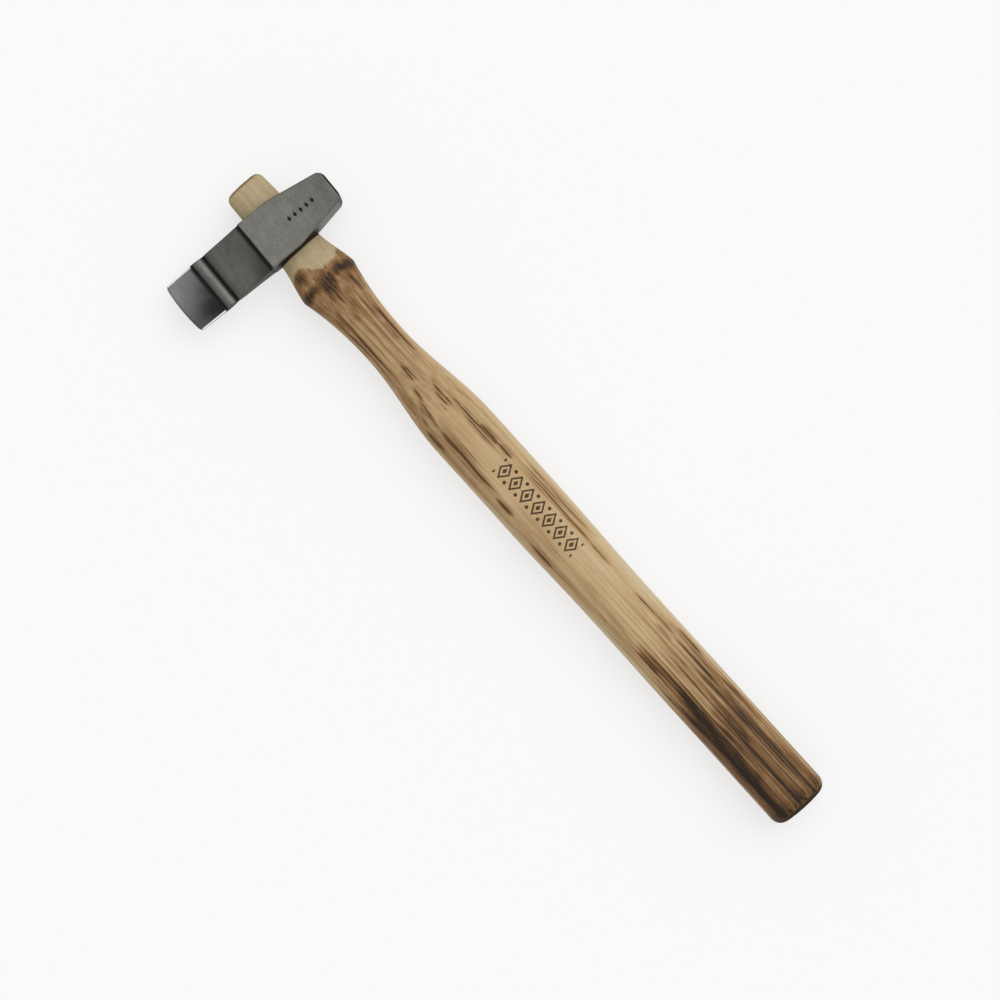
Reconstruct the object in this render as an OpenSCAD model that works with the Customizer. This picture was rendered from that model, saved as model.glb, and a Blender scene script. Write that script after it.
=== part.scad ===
// Handled top tool in hammer form: a steel head forged from square bar and hung on a hickory
// handle. The tenon stands proud of the eye and is wedged from that end.
//
// The handle lies along +X, from the head to the butt. The struck end points along +Y and the
// blade along -Y. +Z leaves the upper cheek. The origin lies on the lower cheek, straight
// under the centre of the eye. Sizes are in millimetres.

/* [Head] */
// Thickness of the head, from cheek to cheek
body_t = 25.4; // [22:0.1:32]
// Width of the head at the shoulder
body_w = 23.9; // [20:0.1:32]
// Angle that the head is hung off square, struck end towards the butt
head_hang = 2.5; // [0:0.5:5]
// From the centre of the eye to the struck face
struck_reach = 28.5; // [24:0.5:45]
// Width of the struck end, as if its corners were sharp
struck_w = 14.7; // [12:0.1:20]
// Radius of the struck end's corners, seen from above a cheek
struck_corner = 3.8; // [0.5:0.1:4]
// Radius where the cheeks turn over into the struck face
struck_lip = 1.5; // [0.3:0.1:4]
// From the centre of the eye up to where the taper to the struck end starts
taper_start = 2.5; // [0:0.5:8]
// Radius that softens the start of the taper
taper_blend = 12; // [2:1:30]

/* [Working end] */
// From the centre of the eye to the shoulder
shoulder_reach = 13; // [12.5:0.5:18]
// Step under the shoulder, on each cheek
shoulder_drop = 2.9; // [0.5:0.1:4]
// How far that step leans along the head
shoulder_run = 0.5; // [0.2:0.1:1.5]
// From the centre of the eye to the upper crease
crease_reach = 33.6; // [28:0.5:42]
// Thickness of the head in the upper crease
crease_t = 5.2; // [4:0.1:9]
// Thickness of the head where the scoop rolls down into the crease
roll_t = 10; // [9:0.1:13]
// Length of that roll
roll_len = 4.6; // [2:0.1:7]
// Hollow of the scoop between the shoulder and the roll
scoop_sag = 0.5; // [0.1:0.1:1.2]
// Fullness of the roll
roll_sag = 0.35; // [0.1:0.05:0.8]
// Length of the bead between the two creases
bead_len = 6.2; // [4:0.1:9]
// Height of the bead over the chord between the two creases
bead_rise = 1.3; // [0.5:0.1:1.9]
// Width of the head at the foot of the bead, which stands out a little at each side
bead_w = 24.6; // [22:0.1:30]
// Length of the blade below the bead
blade_len = 14.8; // [8:0.1:24]
// Width of the blade at its edge
blade_w = 24.1; // [20:0.1:34]
// Thickness of the blade at its root
blade_root_t = 4.4; // [3.5:0.1:6]
// Thickness of the blade at its edge
blade_edge_t = 2.6; // [1.5:0.1:3.4]
// Crown of the blade's edge
blade_crown = 0.9; // [0.3:0.1:2.5]
// Radius of the blade's corners, seen from above a cheek
blade_corner = 2; // [0.5:0.1:4]
// Width of the bevel ground along each side of the blade
bevel_w = 1.2; // [0.4:0.1:2.5]
// Depth of that bevel
bevel_h = 0.5; // [0.2:0.05:0.7]

/* [Eye] */
// Length of the eye at its waist
eye_len = 18.4; // [15:0.1:19]
// Length of the eye at the mouth on the handle's side
eye_near_len = 21.2; // [19:0.1:22]
// Length of the eye at the mouth on the wedges' side
eye_far_len = 19.6; // [19:0.1:22]
// Height of the eye at its waist
eye_h = 11.8; // [9:0.1:12.5]
// Height of the eye at the mouth on the handle's side
eye_near_h = 13.4; // [12.5:0.1:15]
// Height of the eye at the mouth on the wedges' side
eye_far_h = 13; // [12.5:0.1:15]
// Squareness of the eye's oval, 2 being an ellipse
eye_square = 2.4; // [2:0.1:3.5]
// Gap left around the tenon in the eye
eye_fit = 0.05; // [0.02:0.01:0.2]

/* [Handle] */
// Length of the handle, from the tenon's end to the butt
handle_len = 356.6; // [320:0.1:420]
// How far the tenon stands proud of the head
tenon_proud = 12.9; // [6:0.1:18]
// Width of the tenon at its end
tenon_end_w = 18.6; // [16:0.1:19]
// Height of the tenon at its end
tenon_end_h = 12.6; // [11:0.1:13]
// Radius around the tenon's end
tenon_round = 3.2; // [0.5:0.1:3.4]
// Crown of the tenon's end
tenon_dome = 0.4; // [0.1:0.1:1]
// From the head to the handle's ridge
ridge_gap = 18.2; // [12:0.1:24]
// Width of the handle at the ridge
ridge_w = 28; // [24:0.1:34]
// Height of the handle at the ridge
ridge_h = 20.5; // [16:0.1:24]
// From the head to the narrowest place of the neck
neck_gap = 54.2; // [48:0.1:66]
// How fast the ridge falls away to the neck, 1 being a straight line
neck_fall = 2.2; // [1:0.1:4]
// Width of the neck
neck_w = 20; // [16:0.1:24]
// Height of the neck
neck_h = 16; // [13:0.1:20]
// From the head to the full width of the swell
swell_gap = 103.2; // [90:0.1:120]
// Length over which the swell keeps its width
swell_len = 46; // [10:1:60]
// Width of the swell
swell_w = 28.8; // [24:0.1:34]
// Height of the swell
swell_h = 22.4; // [18:0.1:25]
// Length of the straight grip, up to the butt
grip_len = 124; // [80:1:140]
// Width of the grip
grip_w = 27.5; // [24:0.1:34]
// Height of the grip
grip_h = 22.8; // [18:0.1:25]
// Squareness of the handle's section, 2 being an ellipse
grip_square = 2.7; // [2:0.1:4]
// Radius around the edge of the butt
butt_round = 5; // [1:0.1:6]
// Crown of the butt
butt_crown = 0.9; // [0.2:0.1:2]

/* [Wedges] */
// Depth of the saw kerf, from the tenon's end
kerf_depth = 29; // [24:0.5:34]
// Width of the kerf at its root
kerf_t = 1.4; // [1:0.1:1.9]
// Width that the kerf is driven open to at the tenon's end
kerf_mouth_t = 3.4; // [2:0.1:4.5]
// How far the wooden wedge stops short of the kerf's root
wedge_short = 1.5; // [0.5:0.1:4]
// Gap left on each face of a wedge
wedge_fit = 0.05; // [0.02:0.01:0.1]
// Length of a steel wedge
steel_len = 19; // [12:0.5:22]
// Breadth of a steel wedge, across the wooden one
steel_w = 7; // [5:0.1:8.5]
// Thickness of a steel wedge at its head
steel_t = 2.4; // [1.5:0.1:3]
// Thickness of a steel wedge at its point
steel_point_t = 1; // [0.8:0.1:1.4]
// Depth of each barb on a steel wedge
barb = 0.2; // [0.1:0.05:0.3]
// Distance between the two steel wedges
steel_pitch = 8.4; // [5:0.1:9]
// How far the steel wedges are driven below the crown of the tenon's end
steel_sunk = 0.5; // [0.1:0.1:1]

/* [Hidden] */
STEEL = [0.47, 0.47, 0.46];
HICKORY = [0.74, 0.62, 0.44];
WEDGE_WOOD = [0.55, 0.40, 0.25];
WEDGE_STEEL = [0.36, 0.36, 0.37];
// Points around a section of the handle, and along each arc of an outline
section_n = 40;
arc_n = 10;
// Rings from the waist of the eye to a mouth, and barbs on a steel wedge
eye_n = 4;
barb_n = 4;
// A cut runs this far past a face, so that it leaves no skin
over = 1;
// Steel left past the blade's edge, for the edge to be ground round
edge_stock = 0.5;
mid_z = body_t / 2;
root_reach = crease_reach + bead_len;
edge_reach = root_reach + blade_len;
// From the centre of the eye to the blade's corners, before its edge is ground
corner_reach = edge_reach + edge_stock - blade_crown;
// How the blade's sides lean from the foot of the bead down to its corners
spread = atan((blade_w - bead_w) / 2 / (corner_reach - root_reach));
// Places along the handle. The hung head reaches a little past half its width.
mouth_x = body_w / 2 + eye_far_len / 2 * sin(head_hang);
tenon_end_x = -mouth_x - tenon_proud;
ridge_x = mouth_x + ridge_gap;
neck_x = mouth_x + neck_gap;
swell_x = mouth_x + swell_gap;
butt_x = tenon_end_x + handle_len;
grip_x = butt_x - grip_len;
kerf_root_x = tenon_end_x + kerf_depth;

// ---- Curves ----

function blend(a, b, t) = a + (b - a) * t;

// A step from 0 to 1 that starts and ends gently
ease = function(t) t * t * (3 - 2 * t);

// Points from p to q on an arc that bulges by sag to the left of the way from p to q
function arc(p, q, sag) =
    let (chord = norm(q - p))
    let (r = (chord * chord / 4 + sag * sag) / (2 * abs(sag)))
    let (reach = asin(chord / (2 * r)))
    let (along = (q - p) / chord)
    let (out = [-along.y, along.x] * sign(sag))
    let (centre = (p + q) / 2 + out * (abs(sag) - r))
    [for (i = [0 : arc_n])
        let (a = reach * (2 * i / arc_n - 1))
        centre + r * (along * sin(a) + out * cos(a))];

// The same points without the two ends, as corners that stay sharp
function between(p, q, sag) =
    let (points = arc(p, q, sag))
    [for (i = [1 : arc_n - 1]) [points[i].x, points[i].y, 0]];

// The corner at b, between a and c, rounded to radius r
function fillet(a, b, c, r) =
    let (to_a = (a - b) / norm(a - b))
    let (to_c = (c - b) / norm(c - b))
    let (half = acos(to_a * to_c) / 2)
    let (back = r / tan(half))
    arc(b + to_a * back, b + to_c * back, sign(cross(to_a, to_c)) * r * (1 - sin(half)));

// A closed outline through corners [x, y, radius]
function rounded(corners) =
    let (n = len(corners))
    [for (i = [0 : n - 1])
        let (a = corners[(i + n - 1) % n])
        let (b = corners[i])
        let (c = corners[(i + 1) % n])
        each b.z > 0 ? fillet([a.x, a.y], [b.x, b.y], [c.x, c.y], b.z) : [[b.x, b.y]]];

// The same corners on the other side of an axis, in turn. flip is [-1, 1] or [1, -1].
function mirrored(corners, flip) =
    [for (i = [len(corners) - 1 : -1 : 0])
        [corners[i].x * flip.x, corners[i].y * flip.y, corners[i].z]];

// An oval, squarer than an ellipse where power is above 2
function oval(w, h, power) =
    [for (i = [0 : section_n - 1])
        let (a = 360 * (i + 0.5) / section_n)
        let (size = pow(pow(abs(cos(a)), power) + pow(abs(sin(a)), power), -1 / power))
        [size * cos(a) * w / 2, size * sin(a) * h / 2]];

// A solid through ovals across the X axis, each given as [x, width, height, power]
module loft(stations) {
    last = len(stations) - 1;
    points = [for (s = stations) for (p = oval(s[1], s[2], s[3])) [s[0], p.x, p.y]];
    sides = [for (i = [0 : last - 1]) for (j = [0 : section_n - 1])
        let (a = i * section_n + j)
        let (b = i * section_n + (j + 1) % section_n)
        each [[a, a + section_n, b + section_n], [a, b + section_n, b]]];
    start_cap = [for (j = [0 : section_n - 1]) j];
    end_cap = [for (j = [section_n - 1 : -1 : 0]) last * section_n + j];
    translate([0, 0, mid_z]) polyhedron(points, concat([start_cap], sides, [end_cap]));
}

// ---- Head ----

// The head seen from above a cheek: taper, straight body, bead that stands out, and blade
// with a crowned edge
module head_plan() {
    flank = [
        [struck_w / 2, struck_reach, struck_corner],
        [body_w / 2, taper_start, taper_blend],
        [body_w / 2, -crease_reach, 0],
        [bead_w / 2, -root_reach, 0],
        [blade_w / 2, -corner_reach, blade_corner]
    ];
    edge = between([blade_w / 2, -corner_reach], [-blade_w / 2, -corner_reach], blade_crown);
    polygon(rounded(concat(flank, edge, mirrored(flank, [-1, 1]))));
}

// The head seen along the handle. Each cheek steps down at the shoulder, hollows into the
// scoop, rolls into a crease, rises over the bead and runs out along the blade.
module head_side() {
    top = body_t / 2;
    under = [-shoulder_reach - shoulder_run, top - shoulder_drop];
    roll = [roll_len - crease_reach, roll_t / 2];
    crease = [-crease_reach, crease_t / 2];
    root = [-root_reach, blade_root_t / 2];
    upper = concat(
        [[struck_reach, top, struck_lip], [-shoulder_reach, top, 0], [under.x, under.y, 0]],
        between(under, roll, scoop_sag),
        [[roll.x, roll.y, 0]],
        between(roll, crease, -roll_sag),
        [[crease.x, crease.y, 0]],
        between(crease, root, -bead_rise),
        [[root.x, root.y, 0], [-edge_reach, blade_edge_t / 2, 0]],
        [[-edge_reach - edge_stock, blade_edge_t / 2, 0]]
    );
    polygon(rounded(concat(upper, mirrored(upper, [1, -1]))));
}

// What is ground away along the four side edges of the blade
module blade_bevels() {
    // The cut's slanting face, carried on by a third past the blade's surfaces
    far = 1.3;
    near = 0.3;
    lean = atan((blade_root_t - blade_edge_t) / 2 / blade_len);
    for (side = [0, 1], cheek = [0, 1])
        translate([0, 0, mid_z])
            mirror([side, 0, 0])
            mirror([0, 0, cheek])
            translate([bead_w / 2, -root_reach, blade_root_t / 2])
            rotate([90 + lean, 0, spread])
            linear_extrude(blade_len + over)
            polygon([
                [-far * bevel_w, near * bevel_h],
                [near * bevel_w, -far * bevel_h],
                [near * bevel_w, near * bevel_h]
            ]);
}

// What is ground away past the rounded edge, which follows the crown
module edge_waste() {
    nose = blade_edge_t / 2;
    crown_r = (pow(blade_w / 2, 2) + pow(blade_crown, 2)) / (2 * blade_crown);
    rim = crown_r - nose;
    depth = blade_crown + blade_root_t;
    difference() {
        translate([-blade_w, -edge_reach - over, 0]) cube([2 * blade_w, depth + over, body_t]);
        translate([0, crown_r - edge_reach, mid_z]) rotate_extrude($fn = 180) {
            translate([rim, 0]) circle(nose, $fn = 48);
            polygon([
                [0, -body_t], [rim + nose - body_t, -body_t], [rim, -nose],
                [rim, nose], [rim + nose - body_t, body_t], [0, body_t]
            ]);
        }
    }
}

module head() {
    color(STEEL) difference() {
        rotate([0, 0, -head_hang]) difference() {
            intersection() {
                linear_extrude(body_t) head_plan();
                translate([-blade_w, 0, mid_z])
                    rotate([90, 0, 90])
                    linear_extrude(2 * blade_w) head_side();
            }
            blade_bevels();
            edge_waste();
        }
        loft(eye_stations(over, 0));
    }
}

// ---- Eye and handle ----

// A size of the eye at x: least at the waist, and growing to each mouth
function eye_size(waist, near, far, x) =
    waist + ((x > 0 ? near : far) - waist) * pow(x / mouth_x, 2);

// The eye from mouth to mouth, made longer by extra at each end and smaller by gap all round
function eye_stations(extra, gap) =
    [for (i = [-eye_n : eye_n])
        let (x = (mouth_x + extra) * i / eye_n)
        [
            x,
            eye_size(eye_len, eye_near_len, eye_far_len, x) - 2 * gap,
            eye_size(eye_h, eye_near_h, eye_far_h, x) - 2 * gap,
            eye_square
        ]];

// The rings of a rounded and crowned end, from its middle outwards. way is 1 where the end
// faces the butt and -1 where it faces the wedges.
function end_rings(tip_x, way, w, h, power, round, crown) =
    let (turned = 75)
    let (inset = 2 * round * (1 - cos(turned)))
    concat(
        [for (s = [0.3, 0.65])
            [tip_x - way * crown * s * s, s * (w - inset), s * (h - inset), power]],
        [for (a = [turned : -15 : 0])
            let (cut = 2 * round * (1 - cos(a)))
            [tip_x - way * (crown + round * (sin(turned) - sin(a))), w - cut, h - cut, power]]
    );

// Rings from one size to another. shape turns 0 to 1 into how far the change has gone.
function run(x0, x1, from, to, steps, shape) =
    [for (i = [1 : steps])
        let (t = i / steps)
        [blend(x0, x1, t), each blend(from, to, shape(t))]];

// The tenon, from its end to the mouth on the handle's side
function tenon_stations() = concat(
    end_rings(tenon_end_x, -1, tenon_end_w, tenon_end_h, eye_square, tenon_round, tenon_dome),
    eye_stations(0, eye_fit)
);

// The handle before its kerf is sawn
module handle_blank() {
    mouth = [eye_near_len - 2 * eye_fit, eye_near_h - 2 * eye_fit, eye_square];
    ridge = [ridge_w, ridge_h, grip_square];
    neck = [neck_w, neck_h, grip_square];
    swell = [swell_w, swell_h, grip_square];
    grip = [grip_w, grip_h, grip_square];
    butt = end_rings(butt_x, 1, grip_w, grip_h, grip_square, butt_round, butt_crown);
    loft(concat(
        tenon_stations(),
        run(mouth_x, ridge_x, mouth, ridge, 5, function(t) (t + ease(t)) / 2),
        run(ridge_x, neck_x, ridge, neck, 12, function(t) 1 - pow(1 - t, neck_fall)),
        run(neck_x, swell_x, neck, swell, 12, ease),
        run(swell_x, swell_x + swell_len, swell, swell, 1, ease),
        run(swell_x + swell_len, grip_x, swell, grip, 5, ease),
        [for (i = [len(butt) - 1 : -1 : 0]) butt[i]]
    ));
}

// The side view of the kerf or of the wooden wedge, as far as end_x, thinner by gap on each face
module kerf_side(end_x, gap) {
    start_x = tenon_end_x - over;
    start = kerf_width(start_x) / 2 - gap;
    end = kerf_width(end_x) / 2 - gap;
    translate([0, ridge_w, mid_z])
        rotate([90, 0, 0])
        linear_extrude(2 * ridge_w)
        polygon([[start_x, -start], [end_x, -end], [end_x, end], [start_x, start]]);
}

function kerf_width(x) = blend(kerf_mouth_t, kerf_t, (x - tenon_end_x) / kerf_depth);

module handle() {
    color(HICKORY) difference() {
        handle_blank();
        kerf_side(kerf_root_x, 0);
        steel_slots();
    }
}

// ---- Wedges ----

module wooden_wedge() {
    color(WEDGE_WOOD) difference() {
        intersection() {
            loft(tenon_stations());
            kerf_side(kerf_root_x - wedge_short, wedge_fit);
        }
        steel_slots();
    }
}

function steel_half(x) = blend(steel_t, steel_point_t, x / steel_len) / 2;

// Places something at the head of each steel wedge
module at_steel_wedges() {
    for (side = [-1, 1])
        translate([tenon_end_x + steel_sunk, side * steel_pitch / 2, mid_z]) children();
}

module steel_slots() {
    start = -steel_sunk - over;
    end = steel_len + wedge_fit;
    at_steel_wedges()
        linear_extrude(steel_w + 2 * wedge_fit, center = true)
        polygon([
            [start, -steel_half(start) - wedge_fit],
            [end, -steel_half(end) - wedge_fit],
            [end, steel_half(end) + wedge_fit],
            [start, steel_half(start) + wedge_fit]
        ]);
}

// Each barb is a step whose face looks back at the wedge's head
module steel_wedges() {
    pitch = steel_len / barb_n;
    upper = [for (i = [0 : barb_n - 1]) each [
        [i * pitch, steel_half(i * pitch), 0],
        [(i + 1) * pitch, steel_half((i + 1) * pitch) - barb, 0]
    ]];
    color(WEDGE_STEEL)
        at_steel_wedges()
        linear_extrude(steel_w, center = true)
        polygon(rounded(concat(upper, mirrored(upper, [1, -1]))));
}

head();
handle();
wooden_wedge();
steel_wedges();
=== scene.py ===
"""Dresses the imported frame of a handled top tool: a forged steel head wedged on a hickory handle.

The handle lies along +X and the head along Y, with the struck end at +Y and the blade at -Y.
Sizes are in metres. The patterns in the materials are laid out in millimetres.
"""

from bisect import bisect_right
from collections import namedtuple
from math import acos, asin, cos, hypot, pi, radians, sin, tan

import bmesh
import bpy
from bpy.props import (
    FloatProperty, FloatVectorProperty, IntProperty, PointerProperty,
)
from bpy.types import Operator, Panel, PropertyGroup
from mathutils import Matrix, Vector, noise


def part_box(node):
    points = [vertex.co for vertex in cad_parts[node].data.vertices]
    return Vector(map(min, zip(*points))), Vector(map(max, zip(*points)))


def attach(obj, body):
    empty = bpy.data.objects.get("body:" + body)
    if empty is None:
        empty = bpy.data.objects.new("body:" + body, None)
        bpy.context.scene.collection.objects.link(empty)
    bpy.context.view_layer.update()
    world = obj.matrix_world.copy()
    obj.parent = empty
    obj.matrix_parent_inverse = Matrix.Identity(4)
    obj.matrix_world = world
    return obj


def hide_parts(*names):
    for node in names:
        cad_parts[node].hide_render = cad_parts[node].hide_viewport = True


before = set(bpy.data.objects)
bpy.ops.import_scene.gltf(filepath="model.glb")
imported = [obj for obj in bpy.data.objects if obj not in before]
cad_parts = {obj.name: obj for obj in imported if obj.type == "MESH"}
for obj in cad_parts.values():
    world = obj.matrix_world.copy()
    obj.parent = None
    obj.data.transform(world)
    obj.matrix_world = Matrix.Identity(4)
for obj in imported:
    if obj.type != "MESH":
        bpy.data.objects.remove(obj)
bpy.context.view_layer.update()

bl_info = {
    "name": "Handled top tool",
    "version": (1, 0, 0),
    "blender": (4, 5, 0),
    "location": "3D View > Sidebar > Top Tool",
    "description": "Builds the finished look of a wedged hickory handle and a forged head",
    "category": "Object",
}

MM = 0.001
HEAD_LOW, HEAD_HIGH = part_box("head")
HANDLE_LOW, HANDLE_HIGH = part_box("handle")
WEDGE_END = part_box("wooden_wedge")[1].x
BARBED_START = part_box("steel_wedges")[0].x
BODY_T = HEAD_HIGH.z - HEAD_LOW.z
MID_Z = (HEAD_HIGH.z + HEAD_LOW.z) / 2


# ---- Settings ----

def length(name, default, description):
    """A size in metres."""
    return FloatProperty(name=name, default=default, description=description,
                         unit="LENGTH", precision=5, min=0.0)


def colour(name, red, green, blue, description):
    """A colour that is given as it looks on a screen, from 0 to 255."""
    return FloatVectorProperty(name=name, default=seen(red, green, blue)[:3],
                               description=description, subtype="COLOR", size=3, min=0, max=1)


def seen(*levels):
    """The linear colour, with its alpha, of a colour as it looks on a screen."""
    parts = [level / 255 for level in levels]
    return (*(p / 12.92 if p < 0.04045 else ((p + 0.055) / 1.055) ** 2.4 for p in parts), 1.0)


class HeadSettings(PropertyGroup):
    """Sizes of the forged head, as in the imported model, and its steel."""
    hang: FloatProperty(name="Hang", default=radians(2.5), unit="ROTATION",
                        description="Angle that the head is hung off square")
    width: length("Width", 0.0239, "Width of the head at the shoulder")
    struck_reach: length("Struck reach", 0.0285, "Centre of the eye to the struck face")
    struck_width: length("Struck width", 0.0147, "Width of the struck end, corners sharp")
    struck_corner: length("Struck corner", 0.0038, "Radius of the struck end's corners")
    struck_lip: length("Struck lip", 0.0015, "Radius where a cheek turns into the struck face")
    taper_start: length("Taper start", 0.0025, "Centre of the eye up to the taper")
    taper_blend: length("Taper blend", 0.012, "Radius that softens the taper's start")
    shoulder: length("Shoulder", 0.013, "Centre of the eye to the shoulder")
    step: length("Step", 0.0029, "Depth of the step under the shoulder")
    step_run: length("Step run", 0.0005, "How far the step leans along the head")
    crease: length("Crease", 0.0336, "Centre of the eye to the upper crease")
    crease_t: length("Crease thickness", 0.0052, "Thickness in the upper crease")
    roll_t: length("Roll thickness", 0.010, "Thickness where the scoop rolls down")
    roll_length: length("Roll length", 0.0046, "Length of that roll")
    scoop_sag: length("Scoop sag", 0.0005, "Hollow of the scoop")
    roll_sag: length("Roll sag", 0.00035, "Fullness of the roll")
    bead_length: length("Bead length", 0.0062, "Length of the bead between the creases")
    bead_rise: length("Bead rise", 0.0013, "Height of the bead over its chord")
    bead_width: length("Bead width", 0.0246, "Width of the head at the foot of the bead")
    blade_length: length("Blade length", 0.01479, "Length of the blade below the bead")
    blade_width: length("Blade width", 0.0241, "Width of the blade at its edge")
    root_t: length("Root thickness", 0.0044, "Thickness of the blade at its root")
    edge_t: length("Edge thickness", 0.0026, "Thickness of the blade at its edge")
    crown: length("Crown", 0.0009, "Crown of the blade's edge")
    blade_corner: length("Blade corner", 0.002, "Radius of the blade's corners")
    bevel_width: length("Bevel width", 0.0012, "Width of the bevels along the blade")
    bevel_depth: length("Bevel depth", 0.0005, "Depth of those bevels")
    arris: length("Arris", 0.0004, "Radius of the head's eased edges")
    punch_count: IntProperty(name="Punches", default=5, min=1, max=9,
                             description="Lozenge punch marks on the upper cheek")
    punch_pitch: length("Punch pitch", 0.0031, "Distance from one punch mark to the next")
    punch_width: length("Punch width", 0.0034, "Width of a punch mark, across the head")
    punch_length: length("Punch length", 0.0022, "Length of a punch mark, along the head")
    punch_depth: length("Punch depth", 0.0004, "Depth of a punch mark")
    punch_start: length("Punch start", 0.0053, "Centre of the eye to the first punch mark")
    cheek_steel: colour("Cheek steel", 119, 118, 112, "Blasted steel of the cheeks")
    scoop_steel: colour("Scoop steel", 101, 101, 98, "Ground steel of the scoop")
    blade_steel: colour("Blade steel", 132, 132, 133, "Polished steel of the blade")
    # Also the colour of the painted shade and painted dark reflections on the head
    scale: colour("Scale", 40, 38, 36, "Dark scale left in creases and marks")


class EyeSettings(PropertyGroup):
    """Sizes of the eye through the head and of the tenon that fills it."""
    length: length("Length", 0.0184, "Length of the eye at its waist")
    near_length: length("Near length", 0.0212, "Length of its mouth on the handle's side")
    far_length: length("Far length", 0.0196, "Length of its mouth on the wedges' side")
    height: length("Height", 0.0118, "Height of the eye at its waist")
    near_height: length("Near height", 0.0134, "Height of its mouth on the handle's side")
    far_height: length("Far height", 0.013, "Height of its mouth on the wedges' side")
    square: FloatProperty(name="Squareness", default=2.4, min=2, max=4,
                          description="Squareness of the oval, 2 being an ellipse")
    fit: length("Fit", 0.00005, "Gap left around the tenon")
    easing: length("Easing", 0.00045, "Radius of the eye's eased mouths")


class HandleSettings(PropertyGroup):
    """Sizes of the hickory handle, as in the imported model, and its wood."""
    tenon_width: length("Tenon width", 0.0186, "Width of the tenon at its end")
    tenon_height: length("Tenon height", 0.0126, "Height of the tenon at its end")
    tenon_round: length("Tenon round", 0.0032, "Radius around the tenon's end")
    tenon_dome: length("Tenon dome", 0.0004, "Crown of the tenon's end")
    ridge_gap: length("Ridge gap", 0.0182, "From the head to the ridge")
    ridge_width: length("Ridge width", 0.028, "Width at the ridge")
    ridge_height: length("Ridge height", 0.0205, "Height at the ridge")
    neck_gap: length("Neck gap", 0.0542, "From the head to the narrowest place")
    neck_fall: FloatProperty(name="Neck fall", default=2.2, min=1, max=4,
                             description="How fast the ridge falls away to the neck")
    neck_width: length("Neck width", 0.02, "Width of the neck")
    neck_height: length("Neck height", 0.016, "Height of the neck")
    swell_gap: length("Swell gap", 0.1032, "From the head to the full swell")
    swell_length: length("Swell length", 0.046, "Length over which the swell keeps its width")
    swell_width: length("Swell width", 0.0288, "Width of the swell")
    swell_height: length("Swell height", 0.0224, "Height of the swell")
    grip_length: length("Grip length", 0.124, "Length of the straight grip")
    grip_width: length("Grip width", 0.0275, "Width of the grip")
    grip_height: length("Grip height", 0.0228, "Height of the grip")
    square: FloatProperty(name="Squareness", default=2.7, min=2, max=4,
                          description="Squareness of the section, 2 being an ellipse")
    butt_round: length("Butt round", 0.005, "Radius around the edge of the butt")
    butt_crown: length("Butt crown", 0.0009, "Crown of the butt")
    kerf_depth: length("Kerf depth", 0.029, "Depth of the saw kerf")
    kerf_root: length("Kerf root", 0.0014, "Width of the kerf at its root")
    kerf_mouth: length("Kerf mouth", 0.0034, "Width of the kerf at the tenon's end")
    whittle: length("Whittle", 0.00012, "Unevenness that the spokeshave left")
    pale_wood: colour("Pale wood", 200, 182, 148, "Hickory that the torch left alone")
    tan_wood: colour("Tan wood", 186, 158, 116, "Lightly scorched hickory")
    brown_wood: colour("Brown wood", 123, 88, 52, "Well scorched hickory")
    char: colour("Char", 44, 32, 21, "Hickory that is burned black")
    bare_wood: colour("Bare wood", 182, 166, 132, "Unfinished hickory beside the head")


class WedgeSettings(PropertyGroup):
    """Sizes of the wedges in the tenon."""
    fit: length("Fit", 0.00005, "Gap left on each face of a wedge")
    steel_length: length("Steel length", 0.019, "Length of a steel wedge")
    steel_width: length("Steel width", 0.007, "Breadth of a steel wedge")
    steel_t: length("Steel thickness", 0.0024, "Thickness of a steel wedge at its head")
    point_t: length("Point thickness", 0.001, "Thickness of a steel wedge at its point")
    barb: length("Barb", 0.0002, "Depth of each barb")
    barbs: IntProperty(name="Barbs", default=4, min=1, max=8, description="Barbs on a side")
    pitch: length("Pitch", 0.0084, "Distance between the two steel wedges")


class StageSettings(PropertyGroup):
    """The floor, the light and the camera's place."""
    floor_size: length("Floor size", 14.0, "Length of the floor's sides")
    floor_colour: colour("Floor", 248, 248, 248, "Colour of the floor")
    camera_height: length("Camera height", 1.4, "Camera above the middle of the head")
    camera_x: length("Camera along", 0.1478, "Camera's place along the handle")
    camera_y: FloatProperty(name="Camera across", default=-0.00825, unit="LENGTH",
                            precision=5, description="Camera's place across the handle")
    camera_turn: FloatProperty(name="Camera turn", default=radians(47.87), unit="ROTATION",
                               description="Turn of the camera about its own axis")
    lens: FloatProperty(name="Lens", default=118.6, description="Focal length in millimetres")


# ---- Node trees ----

def arithmetic(operation, swapped=False):
    """A method of Value that adds a Math node. It is swapped for a number on the left."""
    def add_node(value, *others):
        values = (*others, value) if swapped else (value, *others)
        return value.graph.math(operation, *values)
    return add_node


class Value:
    """A node's output. Arithmetic on it adds Math nodes to the same tree."""

    def __init__(self, graph, socket):
        self.graph = graph
        self.socket = socket

    __add__ = __radd__ = arithmetic("ADD")
    __sub__ = arithmetic("SUBTRACT")
    __rsub__ = arithmetic("SUBTRACT", swapped=True)
    __mul__ = __rmul__ = arithmetic("MULTIPLY")
    __truediv__ = arithmetic("DIVIDE")
    __rtruediv__ = arithmetic("DIVIDE", swapped=True)
    __pow__ = arithmetic("POWER")
    __abs__ = arithmetic("ABSOLUTE")


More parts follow.
